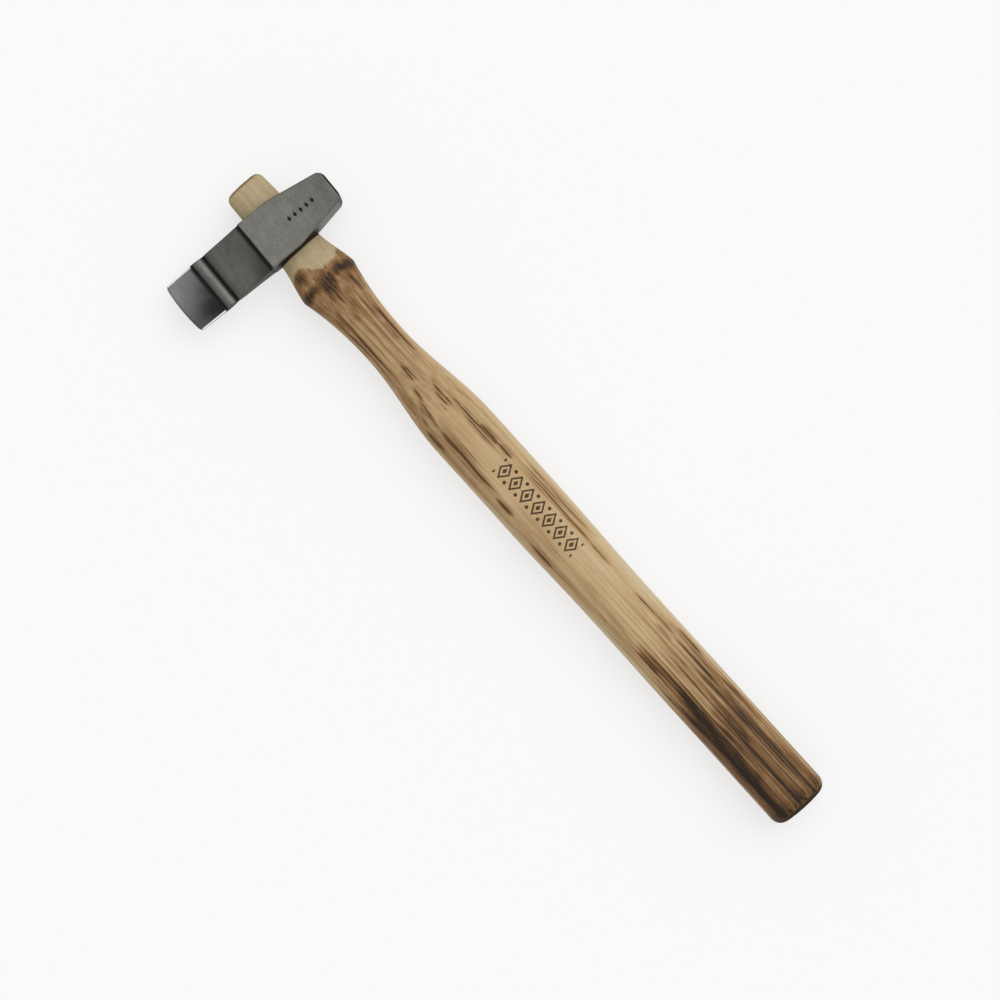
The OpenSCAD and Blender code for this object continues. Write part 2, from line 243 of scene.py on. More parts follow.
class Graph:
    """A node tree being built. An input is a number, a vector, a colour or a Value."""

    def __init__(self, tree):
        self.tree = tree

    def node(self, kind, inputs=None, **settings):
        """Adds a node. inputs maps its sockets, by name or number, to what goes in."""
        made = self.tree.nodes.new(kind)
        for setting, value in settings.items():
            setattr(made, setting, value)
        for socket, value in (inputs or {}).items():
            self.feed(made.inputs[socket], value)
        return made

    def feed(self, socket, value):
        if isinstance(value, Value):
            self.tree.links.new(value.socket, socket)
        else:
            socket.default_value = value

    def value(self, kind, inputs=None, output=0, **settings):
        """Adds a node and gives one of its outputs."""
        return Value(self, self.node(kind, inputs, **settings).outputs[output])

    def outputs(self, node):
        """All outputs of a node, by name."""
        return {socket.name: Value(self, socket) for socket in node.outputs}

    def math(self, operation, *values):
        return self.value("ShaderNodeMath", dict(enumerate(values)), operation=operation)

    def vector(self, operation, *values):
        return self.value("ShaderNodeVectorMath", dict(enumerate(values)), operation=operation)

    def either(self, *values):
        """The largest of the values."""
        result = values[0]
        for value in values[1:]:
            result = self.math("MAXIMUM", result, value)
        return result

    def rise(self, value, low, high, start=0.0, end=1.0):
        """A soft step from start to end as value goes from low to high."""
        return self.value("ShaderNodeMapRange", {0: value, 1: low, 2: high, 3: start, 4: end},
                          interpolation_type="SMOOTHSTEP", clamp=False)

    def far(self, x, y):
        """How far a point at x and y lies from the middle."""
        return self.math("SQRT", x * x + y * y)

    def apart(self, position):
        """The X, Y and Z of a position."""
        return list(self.outputs(self.node("ShaderNodeSeparateXYZ", {0: position})).values())

    def together(self, x, y, z):
        return self.value("ShaderNodeCombineXYZ", {0: x, 1: y, 2: z})

    def noise(self, position, scale, detail=2.0, shift=(0.0, 0.0, 0.0), roughness=0.5):
        """Noise from 0 to 1. scale gives its waves per unit along X, Y and Z."""
        return self.value("ShaderNodeTexNoise", {
            "Vector": self.vector("MULTIPLY_ADD", position, scale, shift),
            "Scale": 1.0, "Detail": detail, "Roughness": roughness,
        })

    def painted(self, name):
        """What paint_head noted on the mesh under this name."""
        return self.value("ShaderNodeAttribute", output="Fac", attribute_name=name)

    def mix(self, share, first, second, blend="MIX"):
        return self.value("ShaderNodeMix", {0: share, 6: first, 7: second}, 2,
                          data_type="RGBA", blend_type=blend)

    def layers(self, tint, *coats):
        """A colour under coats, each (share, colour)."""
        for share, coat in coats:
            tint = self.mix(share, tint, coat)
        return tint

    def ramp(self, value, *stops):
        """A colour that runs through stops, each (place, colour)."""
        node = self.node("ShaderNodeValToRGB", {0: value})
        elements = node.color_ramp.elements
        while len(elements) < len(stops):
            elements.new(1.0)
        for element, (place, tint) in zip(elements, stops):
            element.position = place
            element.color = tint
        return Value(self, node.outputs[0])

    def curve(self, value, stops):
        """A number that runs straight from stop to stop, each (value, number)."""
        first, last = stops[0][0], stops[-1][0]
        share = (value - first) / (last - first)
        return self.ramp(share, *(((at - first) / (last - first), grey(level))
                                  for at, level in stops))

    def group(self, tree, **inputs):
        """Places a node group and gives its outputs by name."""
        kind = tree.bl_idname.replace("Tree", "Group")
        return self.outputs(self.node(kind, by_socket(inputs), node_tree=tree))


def grey(level):
    return (level, level, level, 1.0)


def by_socket(values):
    """The values under their sockets' names, which are spelt like "Ring spacing"."""
    return {name.replace("_", " ").capitalize(): value for name, value in values.items()}


def new_group(name, kind, inputs, outputs):
    """A node group's graph and its inputs' Values. A socket is (name, type, default)."""
    tree = bpy.data.node_groups.new(name, kind)
    for way, sockets in (("INPUT", inputs), ("OUTPUT", outputs)):
        for socket, form, *default in sockets:
            item = tree.interface.new_socket(
                name=socket, in_out=way, socket_type="NodeSocket" + form)
            if default:
                item.default_value = default[0]
    graph = Graph(tree)
    given = graph.outputs(graph.node("NodeGroupInput"))
    return graph, [given[socket] for socket, *_ in inputs]


def put_out(graph, **values):
    """Joins the values to the group's outputs."""
    graph.node("NodeGroupOutput", by_socket(values))
    return graph.tree


def new_material(name, **constants):
    """A material, its graph and its Principled shader. constants go on the shader's sockets."""
    material = bpy.data.materials.new(name)
    material.use_nodes = True
    material.node_tree.nodes.clear()
    graph = Graph(material.node_tree)
    shader = graph.node("ShaderNodeBsdfPrincipled")
    for socket, value in constants.items():
        shader.inputs[socket.replace("_", " ")].default_value = value
    graph.node("ShaderNodeOutputMaterial", {"Surface": Value(graph, shader.outputs[0])})
    return material, graph, shader


def finish_shader(graph, shader, tint, rough, relief, strength, depth):
    """Feeds the shader its colour, roughness and relief, whose depth is in millimetres."""
    normal = graph.value("ShaderNodeBump", {
        "Strength": strength, "Distance": depth * MM, "Height": relief,
    })
    for socket, value in (("Base Color", tint), ("Roughness", rough), ("Normal", normal)):
        graph.feed(shader.inputs[socket], value)


def place_in_mm(graph, turn=0.0):
    """Object coordinates in millimetres, from the middle of the head's thickness."""
    return graph.value("ShaderNodeMapping", {
        "Vector": graph.value("ShaderNodeTexCoord", output="Object"),
        "Location": (0.0, 0.0, -MID_Z / MM),
        "Rotation": (0.0, 0.0, turn),
        "Scale": (1 / MM,) * 3,
    })


def facing(graph):
    """The surface's direction as X, Y and Z."""
    return graph.apart(graph.value("ShaderNodeTexCoord", output="Normal"))


# ---- Shader groups ----

def hardwood_grain():
    """Growth rings of a flat-sawn board along X, with their pores and fibres."""
    g, given = new_group("Hardwood grain", "ShaderNodeTree", [
        ("Position", "Vector", (0, 0, 0)), ("Ring spacing", "Float", 2.4),
        ("Pith depth", "Float", 22), ("Drift", "Float", 4),
    ], [(name, "Float") for name in ("Line", "Fibre", "Strand", "Vein", "Pore")])
    place, spacing, pith, drift = given
    slow = g.noise(place, (0.007, 0.035, 0.02), shift=(3.1, 0.4, 7.7)) - 0.5
    quick = g.noise(place, (0.03, 0.16, 0.16), detail=3, shift=(1.3, 5, 2.6)) - 0.5
    _, y, z = g.apart(place)
    rings = (g.far(y, z + pith) + slow * drift + quick * (drift * 0.22)) / spacing
    across = g.math("FRACT", rings)
    chance = g.value("ShaderNodeTexWhiteNoise", {"W": g.math("FLOOR", rings)}, "Value",
                     noise_dimensions="1D")
    fade = g.noise(place, (0.02, 0.3, 0.3), detail=2, shift=(9, 2, 4))
    early = g.rise(across, 0, 0.12) * g.rise(across, 0.5, 0.15)
    fibre = g.noise(place, (0.018, 0.6, 0.6), detail=5, shift=(0.7, 3.9, 8.2), roughness=0.68)
    strand = g.noise(place, (0.028, 1.5, 1.5), detail=3, shift=(5.2, 8.1, 2.7), roughness=0.6)
    vein = g.noise(place, (0.016, 1.25, 1.25), detail=3, shift=(2.4, 6.3, 9.1), roughness=0.55)
    dashes = g.noise(place, (0.14, 2.6, 2.6), detail=3, shift=(4.4, 1.2, 6.1))
    return put_out(
        g,
        line=early * g.rise(chance, 0.1, 0.9, 0.25, 1) * g.rise(fade, 0.35, 0.62),
        fibre=g.rise(fibre, 0.3, 0.7),
        strand=g.rise(strand, 0.36, 0.64),
        vein=g.rise(vein, 0.55, 0.63),
        pore=g.rise(dashes, 0.56, 0.68) * g.rise(early, 0, 1, 0.35, 1),
    )


def scorch_line():
    """One burned streak along the grain: a thin dark core in a broad brown halo."""
    g, given = new_group("Scorch line", "ShaderNodeTree", [
        ("Position", "Vector", (0, 0, 0)), ("Start", "Float", 0), ("End", "Float", 1),
        ("Height", "Float", 0), ("Width", "Float", 1), ("Darkness", "Float", 1),
        ("Lean", "Float", 0), ("Before", "Float", 0),
    ], [("Scorch", "Float")])
    place, start, end, height, width, darkness, lean, before = given
    x, y, _ = g.apart(place)
    fade = (end - start) * 0.35
    along = g.rise(x - start, 0, fade) * g.rise(end - x, 0, fade)
    off = abs(y - (height + lean * (x - start))) / width
    halo = g.rise(off, 4.2, 0.4, 0, 0.2)
    core = g.rise(off, 0.85, 0.4, 0, 0.36)
    return put_out(g, scorch=g.either(before, along * (halo + core) * darkness))


def scorch_spot():
    """One burned patch, round or long, with a soft edge. A paler patch has less than no
    darkness."""
    g, given = new_group("Scorch spot", "ShaderNodeTree", [
        ("Position", "Vector", (0, 0, 0)), ("Middle", "Vector", (0, 0, 0)),
        ("Reach", "Vector", (1, 1, 1)), ("Darkness", "Float", 1), ("Before", "Float", 0),
    ], [("Scorch", "Float")])
    place, middle, reach, darkness, before = given
    x, y, _ = g.apart(g.vector("DIVIDE", g.vector("SUBTRACT", place, middle), reach))
    return put_out(g, scorch=before + g.rise(g.far(x, y), 1.3, 0.2, 0, darkness))


def ground_steel():
    """Marks that grinding leaves across the head: fine lines and slow waves of tone."""
    g, given = new_group("Ground steel", "ShaderNodeTree", [
        ("Position", "Vector", (0, 0, 0)), ("Fineness", "Float", 6),
    ], [(name, "Float") for name in ("Lines", "Waves", "Grit")])
    place, fineness = given
    fine = g.together(0.12, fineness, fineness)
    return put_out(
        g,
        lines=g.noise(place, fine, detail=3),
        waves=g.noise(place, (0.05, 0.3, 0.3), detail=2, shift=(2, 6, 1)),
        grit=g.noise(place, (5, 5, 5), detail=2, shift=(7, 3, 5)),
    )


# ---- Geometry node trees ----

# Points of a skin that are closer than this are one
SAME_PLACE = 2e-6


def dressed(graph, shape, material):
    """The shape as real geometry, with its material."""
    real = graph.value("GeometryNodeRealizeInstances", {0: shape})
    return graph.value("GeometryNodeSetMaterial", {"Geometry": real, "Material": material})


def oval_skin():
    """A skin of ovals along a spine, whose points carry each oval's sizes."""
    g, given = new_group("Oval skin", "GeometryNodeTree", [
        ("Spine", "Geometry"), ("Around", "Int", 96), ("Material", "Material"),
    ], [("Geometry", "Geometry")])
    spine, around, material = given
    rings = g.value("GeometryNodeAttributeDomainSize", {0: spine}, "Point Count")
    column = around + 1.0
    grid = g.value("GeometryNodeMeshGrid", {
        "Size X": 1.0, "Size Y": 1.0, "Vertices X": rings, "Vertices Y": column,
    }, "Mesh")
    index = g.value("GeometryNodeInputIndex")
    ring = g.math("FLOOR", index / column)
    angle = g.math("MODULO", index, column) / around * (2 * pi)

    def of_ring(name):
        size = g.value("GeometryNodeInputNamedAttribute", {"Name": name}, "Attribute",
                       data_type="FLOAT")
        return g.value("GeometryNodeSampleIndex",
                       {"Geometry": spine, "Value": size, "Index": ring}, "Value")

    square = of_ring("square")
    c, s = g.math("COSINE", angle), g.math("SINE", angle)
    reach = (abs(c) ** square + abs(s) ** square) ** (-1.0 / square)
    y = reach * c * of_ring("width") * 0.5
    z = reach * s * of_ring("height") * 0.5 + MID_Z
    placed = g.value("GeometryNodeSetPosition", {
        "Geometry": grid, "Position": g.together(of_ring("along"), y, z),
    })
    closed = g.value("GeometryNodeMergeByDistance", {"Geometry": placed, "Distance": SAME_PLACE})
    return put_out(g, geometry=dressed(g, closed, material))


def punch_row():
    """A row of lozenge punches, points down, to cut their marks with."""
    g, given = new_group("Punch row", "GeometryNodeTree", [
        ("Count", "Int", 5), ("Start", "Vector", (0, 0, 0)), ("Step", "Vector", (0, 1, 0)),
        ("Width", "Float", 1.0), ("Length", "Float", 1.0), ("Depth", "Float", 1.0),
        ("Turn", "Float", 0.0), ("Material", "Material"),
    ], [("Geometry", "Geometry")])
    count, start, step, *size, turn, material = given
    line = g.value("GeometryNodeMeshLine",
                   {"Count": count, "Start Location": start, "Offset": step},
                   "Mesh", mode="OFFSET")
    # The lozenge is as wide as asked at half the cone's height, which meets the cheek
    punch = g.value("GeometryNodeMeshCone", {
        "Vertices": 4, "Radius Top": 1.0, "Radius Bottom": 0.0, "Depth": 2.0,
    }, "Mesh")
    placed = g.value("GeometryNodeInstanceOnPoints", {
        "Points": line, "Instance": punch, "Scale": g.together(*size),
        "Rotation": g.together(0.0, 0.0, turn),
    })
    return put_out(g, geometry=dressed(g, placed, material))


# ---- Meshes ----

def new_object(name, points, faces=()):
    """A piece with a mesh of these points and faces."""
    mesh = bpy.data.meshes.new(name)
    mesh.from_pydata(points, [], faces)
    piece = bpy.data.objects.new(name, mesh)
    bpy.context.scene.collection.objects.link(piece)
    return piece


def closed_body(name, points, faces):
    """A piece whose faces are turned outwards."""
    piece = new_object(name, points, faces)
    face_outwards(piece)
    return piece


def face_outwards(piece):
    bm = bmesh.new()
    bm.from_mesh(piece.data)
    bmesh.ops.recalc_face_normals(bm, faces=bm.faces)
    bm.to_mesh(piece.data)
    bm.free()


def apply_tree(piece, tree, **inputs):
    """Runs a geometry node tree on the piece and keeps the mesh that comes out."""
    modifier = piece.modifiers.new(tree.name, "NODES")
    modifier.node_group = tree
    sockets = {item.name: item.identifier for item in tree.interface.items_tree
               if item.in_out == "INPUT"}
    for name, value in by_socket(inputs).items():
        modifier[sockets[name]] = value
    keep_mesh(piece)
    return piece


def keep_mesh(piece):
    """Takes the piece's modifiers into its mesh."""
    depsgraph = bpy.context.evaluated_depsgraph_get()
    made = bpy.data.meshes.new_from_object(piece.evaluated_get(depsgraph))
    old = piece.data
    piece.modifiers.clear()
    made.name = piece.name
    piece.data = made
    bpy.data.meshes.remove(old)


def carve(piece, cutter, operation="DIFFERENCE"):
    """Cuts the piece with the cutter, and does away with the cutter."""
    modifier = piece.modifiers.new("Carve", "BOOLEAN")
    modifier.object = cutter
    modifier.operation = operation
    modifier.solver = "EXACT"
    keep_mesh(piece)
    bpy.data.objects.remove(cutter)
    if not piece.data.polygons:
        raise RuntimeError(f"cutting {piece.name} left nothing of it")


Station = namedtuple("Station", "along width height square")


def oval_body(name, stations, around, material):
    """A closed body through ovals across the X axis. Its first and last ovals are points."""
    spine = new_object(name, [(s.along, 0, MID_Z) for s in stations])
    for field in Station._fields:
        values = spine.data.attributes.new(field, "FLOAT", "POINT")
        values.data.foreach_set("value", [getattr(s, field) for s in stations])
    body = apply_tree(spine, oval_skin(), around=around, material=material)
    face_outwards(body)
    return body


def prism(name, outline, low, high, place):
    """A straight body with the outline's shape. place turns (a, b, height) into a point."""
    count = len(outline)
    points = [place(*corner, level) for level in (low, high) for corner in outline]
    faces = [[(i + 1) % count, i, count + i, count + (i + 1) % count] for i in range(count)]
    faces += [list(range(count)), list(range(2 * count - 1, count - 1, -1))]
    return closed_body(name, points, faces)


def taper(start, end, near, far, middle):
    """An outline from start to end, whose half width goes from near to far."""
    return [(start, middle - near), (end, middle - far), (end, middle + far),
            (start, middle + near)]


def finish_piece(piece, material, node, crisp_angle, weighted=True):
    """Shades the piece, dresses it and sets it in the frame in place of its CAD node."""
    mesh = piece.data
    mesh.materials.clear()
    mesh.materials.append(material)
    mesh.polygons.foreach_set("material_index", [0] * len(mesh.polygons))
    mesh.shade_smooth()
    mesh.set_sharp_from_angle(angle=crisp_angle)
    if weighted:
        normals = piece.modifiers.new("Weighted normals", "WEIGHTED_NORMAL")
        normals.keep_sharp = True
        normals.weight = 80
    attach(piece, "root")
    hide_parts(node)


# ---- Outlines ----

def arc(p, q, sag, steps):
    """Points from p to q on an arc that bulges by sag to the left of the way from p to q."""
    chord = hypot(q[0] - p[0], q[1] - p[1])
    radius = (chord * chord / 4 + sag * sag) / (2 * abs(sag))
    reach = asin(min(1.0, chord / (2 * radius)))
    along = Vector((q[0] - p[0], q[1] - p[1])) / chord
    out = Vector((-along.y, along.x)) * (1 if sag > 0 else -1)
    centre = (Vector(p) + Vector(q)) / 2 + out * (abs(sag) - radius)
    turns = [reach * (2 * i / steps - 1) for i in range(steps + 1)]
    return [centre + radius * (along * sin(a) + out * cos(a)) for a in turns]


def fillet(a, b, c, radius, steps):
    """The corner at b, between a and c, rounded."""
    a, b, c = Vector(a), Vector(b), Vector(c)
    to_a, to_c = (a - b).normalized(), (c - b).normalized()
    half = acos(max(-1.0, min(1.0, to_a.dot(to_c)))) / 2
    back = radius / tan(half)
    side = 1 if to_a.x * to_c.y - to_a.y * to_c.x > 0 else -1
    return arc(b + to_a * back, b + to_c * back, side * radius * (1 - sin(half)), steps)


def rounded(corners, steps=8):
    """An open line through corners (along, half, radius)."""
    points = [Vector(corners[0][:2])]
    for before, here, after in zip(corners, corners[1:], corners[2:]):
        if here[2] > 0:
            points += fillet(before[:2], here[:2], after[:2], here[2], steps)
        else:
            points.append(Vector(here[:2]))
    return points + [Vector(corners[-1][:2])]


def sharp(points):
    """Points of an arc, without its ends, as corners that aren't rounded."""
    return [(p.x, p.y, 0) for p in points[1:-1]]


class Profile:
    """How far the head reaches from its middle line, looked up by the place along it."""

    def __init__(self, points):
        pairs = sorted((p.x, p.y) for p in points)
        self.places = [p[0] for p in pairs]
        self.halves = [p[1] for p in pairs]

    def at(self, y):
        i = min(max(bisect_right(self.places, y), 1), len(self.places) - 1)
        y0, y1 = self.places[i - 1], self.places[i]
        share = 0.0 if y1 == y0 else min(1.0, max(0.0, (y - y0) / (y1 - y0)))
        return self.halves[i - 1] + share * (self.halves[i] - self.halves[i - 1])


def ease(t):
    return t * t * (3 - 2 * t)


def soft_step(value, low, high):
    return ease(min(1.0, max(0.0, (value - low) / (high - low))))


def blend(a, b, t):
    return a + (b - a) * t


# ---- Head ----

# The head's sections lie about this far apart at most
SECTION_GAP = 0.0007
# Points in one section of the head: along a cheek, down a flank and round each edge
CHEEK_STEPS = 24
FLANK_STEPS = 10
CORNER_STEPS = 6
# Rings of the eye's wall from its waist to a mouth and round the mouth's rim, and their points
EYE_RINGS = 12
EASING_STEPS = 7
AROUND_EYE = 128
# The eye's cutter ends this far out, where the flank is 1
PAST_FLANK = 1.08
# The row of punch marks stands this far off the middle of the cheek
PUNCH_ASIDE = 0.0002
# A place that depends on itself is worked out again this often
ROUNDS = 3


def thickness_profile(s):
    """Half the head's thickness along it: cheek, step, scoop, roll, crease, bead and blade."""
    top = BODY_T / 2
    root, edge = s.crease + s.bead_length, s.crease + s.bead_length + s.blade_length
    under = (-s.shoulder - s.step_run, top - s.step)
    roll = (s.roll_length - s.crease, s.roll_t / 2)
    crease = (-s.crease, s.crease_t / 2)
    foot = (-root, s.root_t / 2)
    nose = 0.8 * s.edge_t / 2
    line = rounded(
        [(s.struck_reach, 0, 0), (s.struck_reach, top, s.struck_lip),
         (-s.shoulder, top, 0.6 * s.arris), (*under, s.arris)]
        + sharp(arc(under, roll, s.scoop_sag, 20)) + [(*roll, 0)]
        + sharp(arc(roll, crease, -s.roll_sag, 10)) + [(*crease, 0.4 * s.arris)]
        + sharp(arc(crease, foot, -s.bead_rise, 16)) + [(*foot, 0.4 * s.arris)]
        + [(-edge, s.edge_t / 2, nose), (-edge, 0, 0)]
    )
    return Profile(line[1:-1])


def width_profile(s):
    """Half the head's width along it: taper, straight body, bead that stands out and blade."""
    root = s.crease + s.bead_length
    edge = root + s.blade_length
    line = rounded([
        (s.struck_reach, 0, 0), (s.struck_reach, s.struck_width / 2, s.struck_corner),
        (s.taper_start, s.width / 2, s.taper_blend), (-s.crease, s.width / 2, 0),
        (-root, s.bead_width / 2, 0), (-edge, s.blade_width / 2, s.blade_corner),
        (-edge, 0, 0),
    ])
    return Profile(line[1:-1])


def head_places(profiles):
    """Places along the head: every point of the profiles, and more where they lie far apart."""
    places = sorted({round(y, 7) for profile in profiles for y in profile.places})
    dense = [places[0]]
    for y in places[1:]:
        steps = max(1, round((y - dense[-1]) / SECTION_GAP))
        start = dense[-1]
        dense += [blend(start, y, (i + 1) / steps) for i in range(steps)]
    return dense


def head_ring(s, y, half_w, half_t):
    """The head's section at y as (x, z) points, in turn from a corner of the upper cheek."""
    root = -s.crease - s.bead_length
    # The edges are eased round as far as the blade's root, and bevelled flat from there
    flat = soft_step(y, root + 0.0003, root - 0.0005)
    across = min(blend(s.arris, s.bevel_width, flat), 0.5 * half_w)
    down = min(blend(s.arris, s.bevel_depth, flat), 0.75 * half_t)
    quarter = []
    for i in range(1, CORNER_STEPS):
        t = i / CORNER_STEPS
        round_x, round_z = 1 - sin(t * pi / 2), 1 - cos(t * pi / 2)
        quarter.append((half_w - across * blend(round_x, 1 - t, flat),
                        half_t - down * blend(round_z, t, flat)))
    cheek_x, flank_z = half_w - across, half_t - down
    cheek = [(cheek_x * (2 * i / CHEEK_STEPS - 1), half_t) for i in range(CHEEK_STEPS + 1)]
    flank = [(half_w, flank_z * (1 - 2 * i / FLANK_STEPS)) for i in range(FLANK_STEPS + 1)]
    half_turn = cheek + quarter + flank + [(x, -z) for x, z in reversed(quarter)]
    return half_turn + [(-x, -z) for x, z in half_turn]


def forged_body(s):
    """The head without its eye: a skin of sections along it, closed at both ends."""
    thickness, width = thickness_profile(s), width_profile(s)
    hang = Matrix.Rotation(-s.hang, 3, "Z")
    points = []
    for y in head_places((thickness, width)):
        for x, z in head_ring(s, y, width.at(y), thickness.at(y)):
            lifted = Vector((x, y + crown_lift(s, x, y), z))
            points.append(hang @ lifted + Vector((0, 0, MID_Z)))
    around = 2 * (CHEEK_STEPS + FLANK_STEPS + 2 + 2 * (CORNER_STEPS - 1))
    rings = len(points) // around
    faces = tube_faces(rings, around)
    for first in (0, (rings - 1) * around):
        faces += end_faces(first, around)
    return closed_body("forged_head", points, faces)


def crown_lift(s, x, y):
    """How far the blade's crown draws it back at x. The crown dies out towards the crease."""
    crowned = max(0.0, (-y - s.crease - s.bead_length) / s.blade_length)
    return s.crown * crowned * (2 * x / s.blade_width) ** 2


def end_faces(first, around):
    """Closes an end ring: strips from the upper cheek to the lower, and a face by each flank."""
    half = around // 2
    lower = first + half + CHEEK_STEPS
    strips = [[first + k, first + k + 1, lower - k - 1, lower - k]
              for k in range(CHEEK_STEPS)]
    right = [first + k for k in range(CHEEK_STEPS, half + 1)]
    left = [first + (half + k) % around for k in range(CHEEK_STEPS, half + 1)]
    return strips + [right, left]


def eye_oval(eye, x):
    """The eye's length and height at x: least at the waist, and growing to each mouth."""
    share = (x / mouth_x()) ** 2
    mouth_y, mouth_z = ((eye.near_length, eye.near_height) if x > 0
                        else (eye.far_length, eye.far_height))
    return blend(eye.length, mouth_y, share), blend(eye.height, mouth_z, share)


def mouth_x():
    """How far the hung head reaches along the handle, at the eye's mouths."""
    head, eye = bpy.context.scene.tool_head, bpy.context.scene.tool_eye
    return head.width / 2 + eye.far_length / 2 * sin(head.hang)


def flank_x(s, width, side, y):
    """Where the hung head's flank lies at y."""
    x = side * width.at(y)
    for _ in range(ROUNDS):
        along = x * sin(s.hang) + y * cos(s.hang)
        x = (side * width.at(along) + y * sin(s.hang)) / cos(s.hang)
    return x


def eye_point(s, eye, width, side, share, grow, turn):
    """A point of the eye's wall. share tells how far out to the flank it lies."""
    c, sine = cos(turn), sin(turn)
    reach = (abs(c) ** eye.square + abs(sine) ** eye.square) ** (-1 / eye.square)
    y, z = c * reach * eye.length / 2, 0.0
    for _ in range(ROUNDS):
        x = share * flank_x(s, width, side, y)
        size_y, size_z = eye_oval(eye, x)
        y = c * reach * (size_y / 2 + grow)
        z = sine * reach * (size_z / 2 + grow)
    return x, y, MID_Z + z


def eye_cutter(s, eye):
    """What the eye takes away. Its mouths follow the head's flanks, with flared rims."""
    width = width_profile(s)
    easing = eye.easing / s.width * 2
    inner = [((1 - easing) * i / EYE_RINGS, 0.0) for i in range(1, EYE_RINGS)]
    turns = [radians(90 * i / EASING_STEPS) for i in range(EASING_STEPS + 1)]
    rim = [(1 - easing * (1 - sin(a)), eye.easing * (1 - cos(a))) for a in turns]
    way_out = inner + rim + [(PAST_FLANK, eye.easing)]
    rings = [(-1, *step) for step in reversed(way_out)] + [(1, *step) for step in way_out]
    points = [eye_point(s, eye, width, *ring, 2 * pi * k / AROUND_EYE)
              for ring in rings for k in range(AROUND_EYE)]
    last = len(points) - AROUND_EYE
    ends = [list(range(AROUND_EYE)), list(range(last, len(points)))]
    return closed_body("eye_cutter", points, tube_faces(len(rings), AROUND_EYE) + ends)


def tube_faces(rings, around):
    """The faces between rings of points, each closed on itself."""
    return [
        (r * around + k, r * around + (k + 1) % around,
         (r + 1) * around + (k + 1) % around, (r + 1) * around + k)
        for r in range(rings - 1) for k in range(around)
    ]


def punches(s):
    """The punches that mark the upper cheek, halfway sunk into it."""
    hang = Matrix.Rotation(-s.hang, 3, "Z")
    start = hang @ Vector((PUNCH_ASIDE, s.punch_start, 0))
    return apply_tree(
        new_object("punches", [(0, 0, 0)]), punch_row(), count=s.punch_count,
        start=(start.x, start.y, HEAD_HIGH.z - s.punch_depth),
        step=hang @ Vector((0, s.punch_pitch, 0)), turn=-s.hang,
        width=s.punch_width, length=s.punch_length, depth=s.punch_depth,
    )


def paint_head(head, s):
    """Notes on each point whether it lies on an eased edge, a bevel or a punch mark."""
    thickness, width = thickness_profile(s), width_profile(s)
    square_on = Matrix.Rotation(s.hang, 3, "Z")
    root = -s.crease - s.bead_length
    nose = root - s.blade_length + 0.4 * s.edge_t
    row_end = s.punch_start + s.punch_count * s.punch_pitch
    slack = 1.02
    notes = {"arris": [], "bevel": [], "recess": []}
    for vertex in head.data.vertices:
        x, lifted, z = square_on @ (vertex.co - Vector((0, 0, MID_Z)))
        y = lifted
        for _ in range(ROUNDS):
            y = lifted - crown_lift(s, x, y)
        beside = abs(width.at(y) - abs(x))
        under = abs(thickness.at(y) - abs(z))
        notes["arris"].append(float(beside < slack * s.arris and under < slack * s.arris))
        notes["bevel"].append(float(nose < y < root and beside < 0.6 * s.bevel_width
                                    and under < slack * s.bevel_depth))
        sunk = BODY_T / 2 - z
        notes["recess"].append(float(0.01 * MM < sunk < 1.1 * s.punch_depth
                                     and 0 < y < row_end and abs(x) < s.punch_width))
    for name, values in notes.items():
        layer = head.data.attributes.new(name, "FLOAT", "POINT")
        layer.data.foreach_set("value", values)


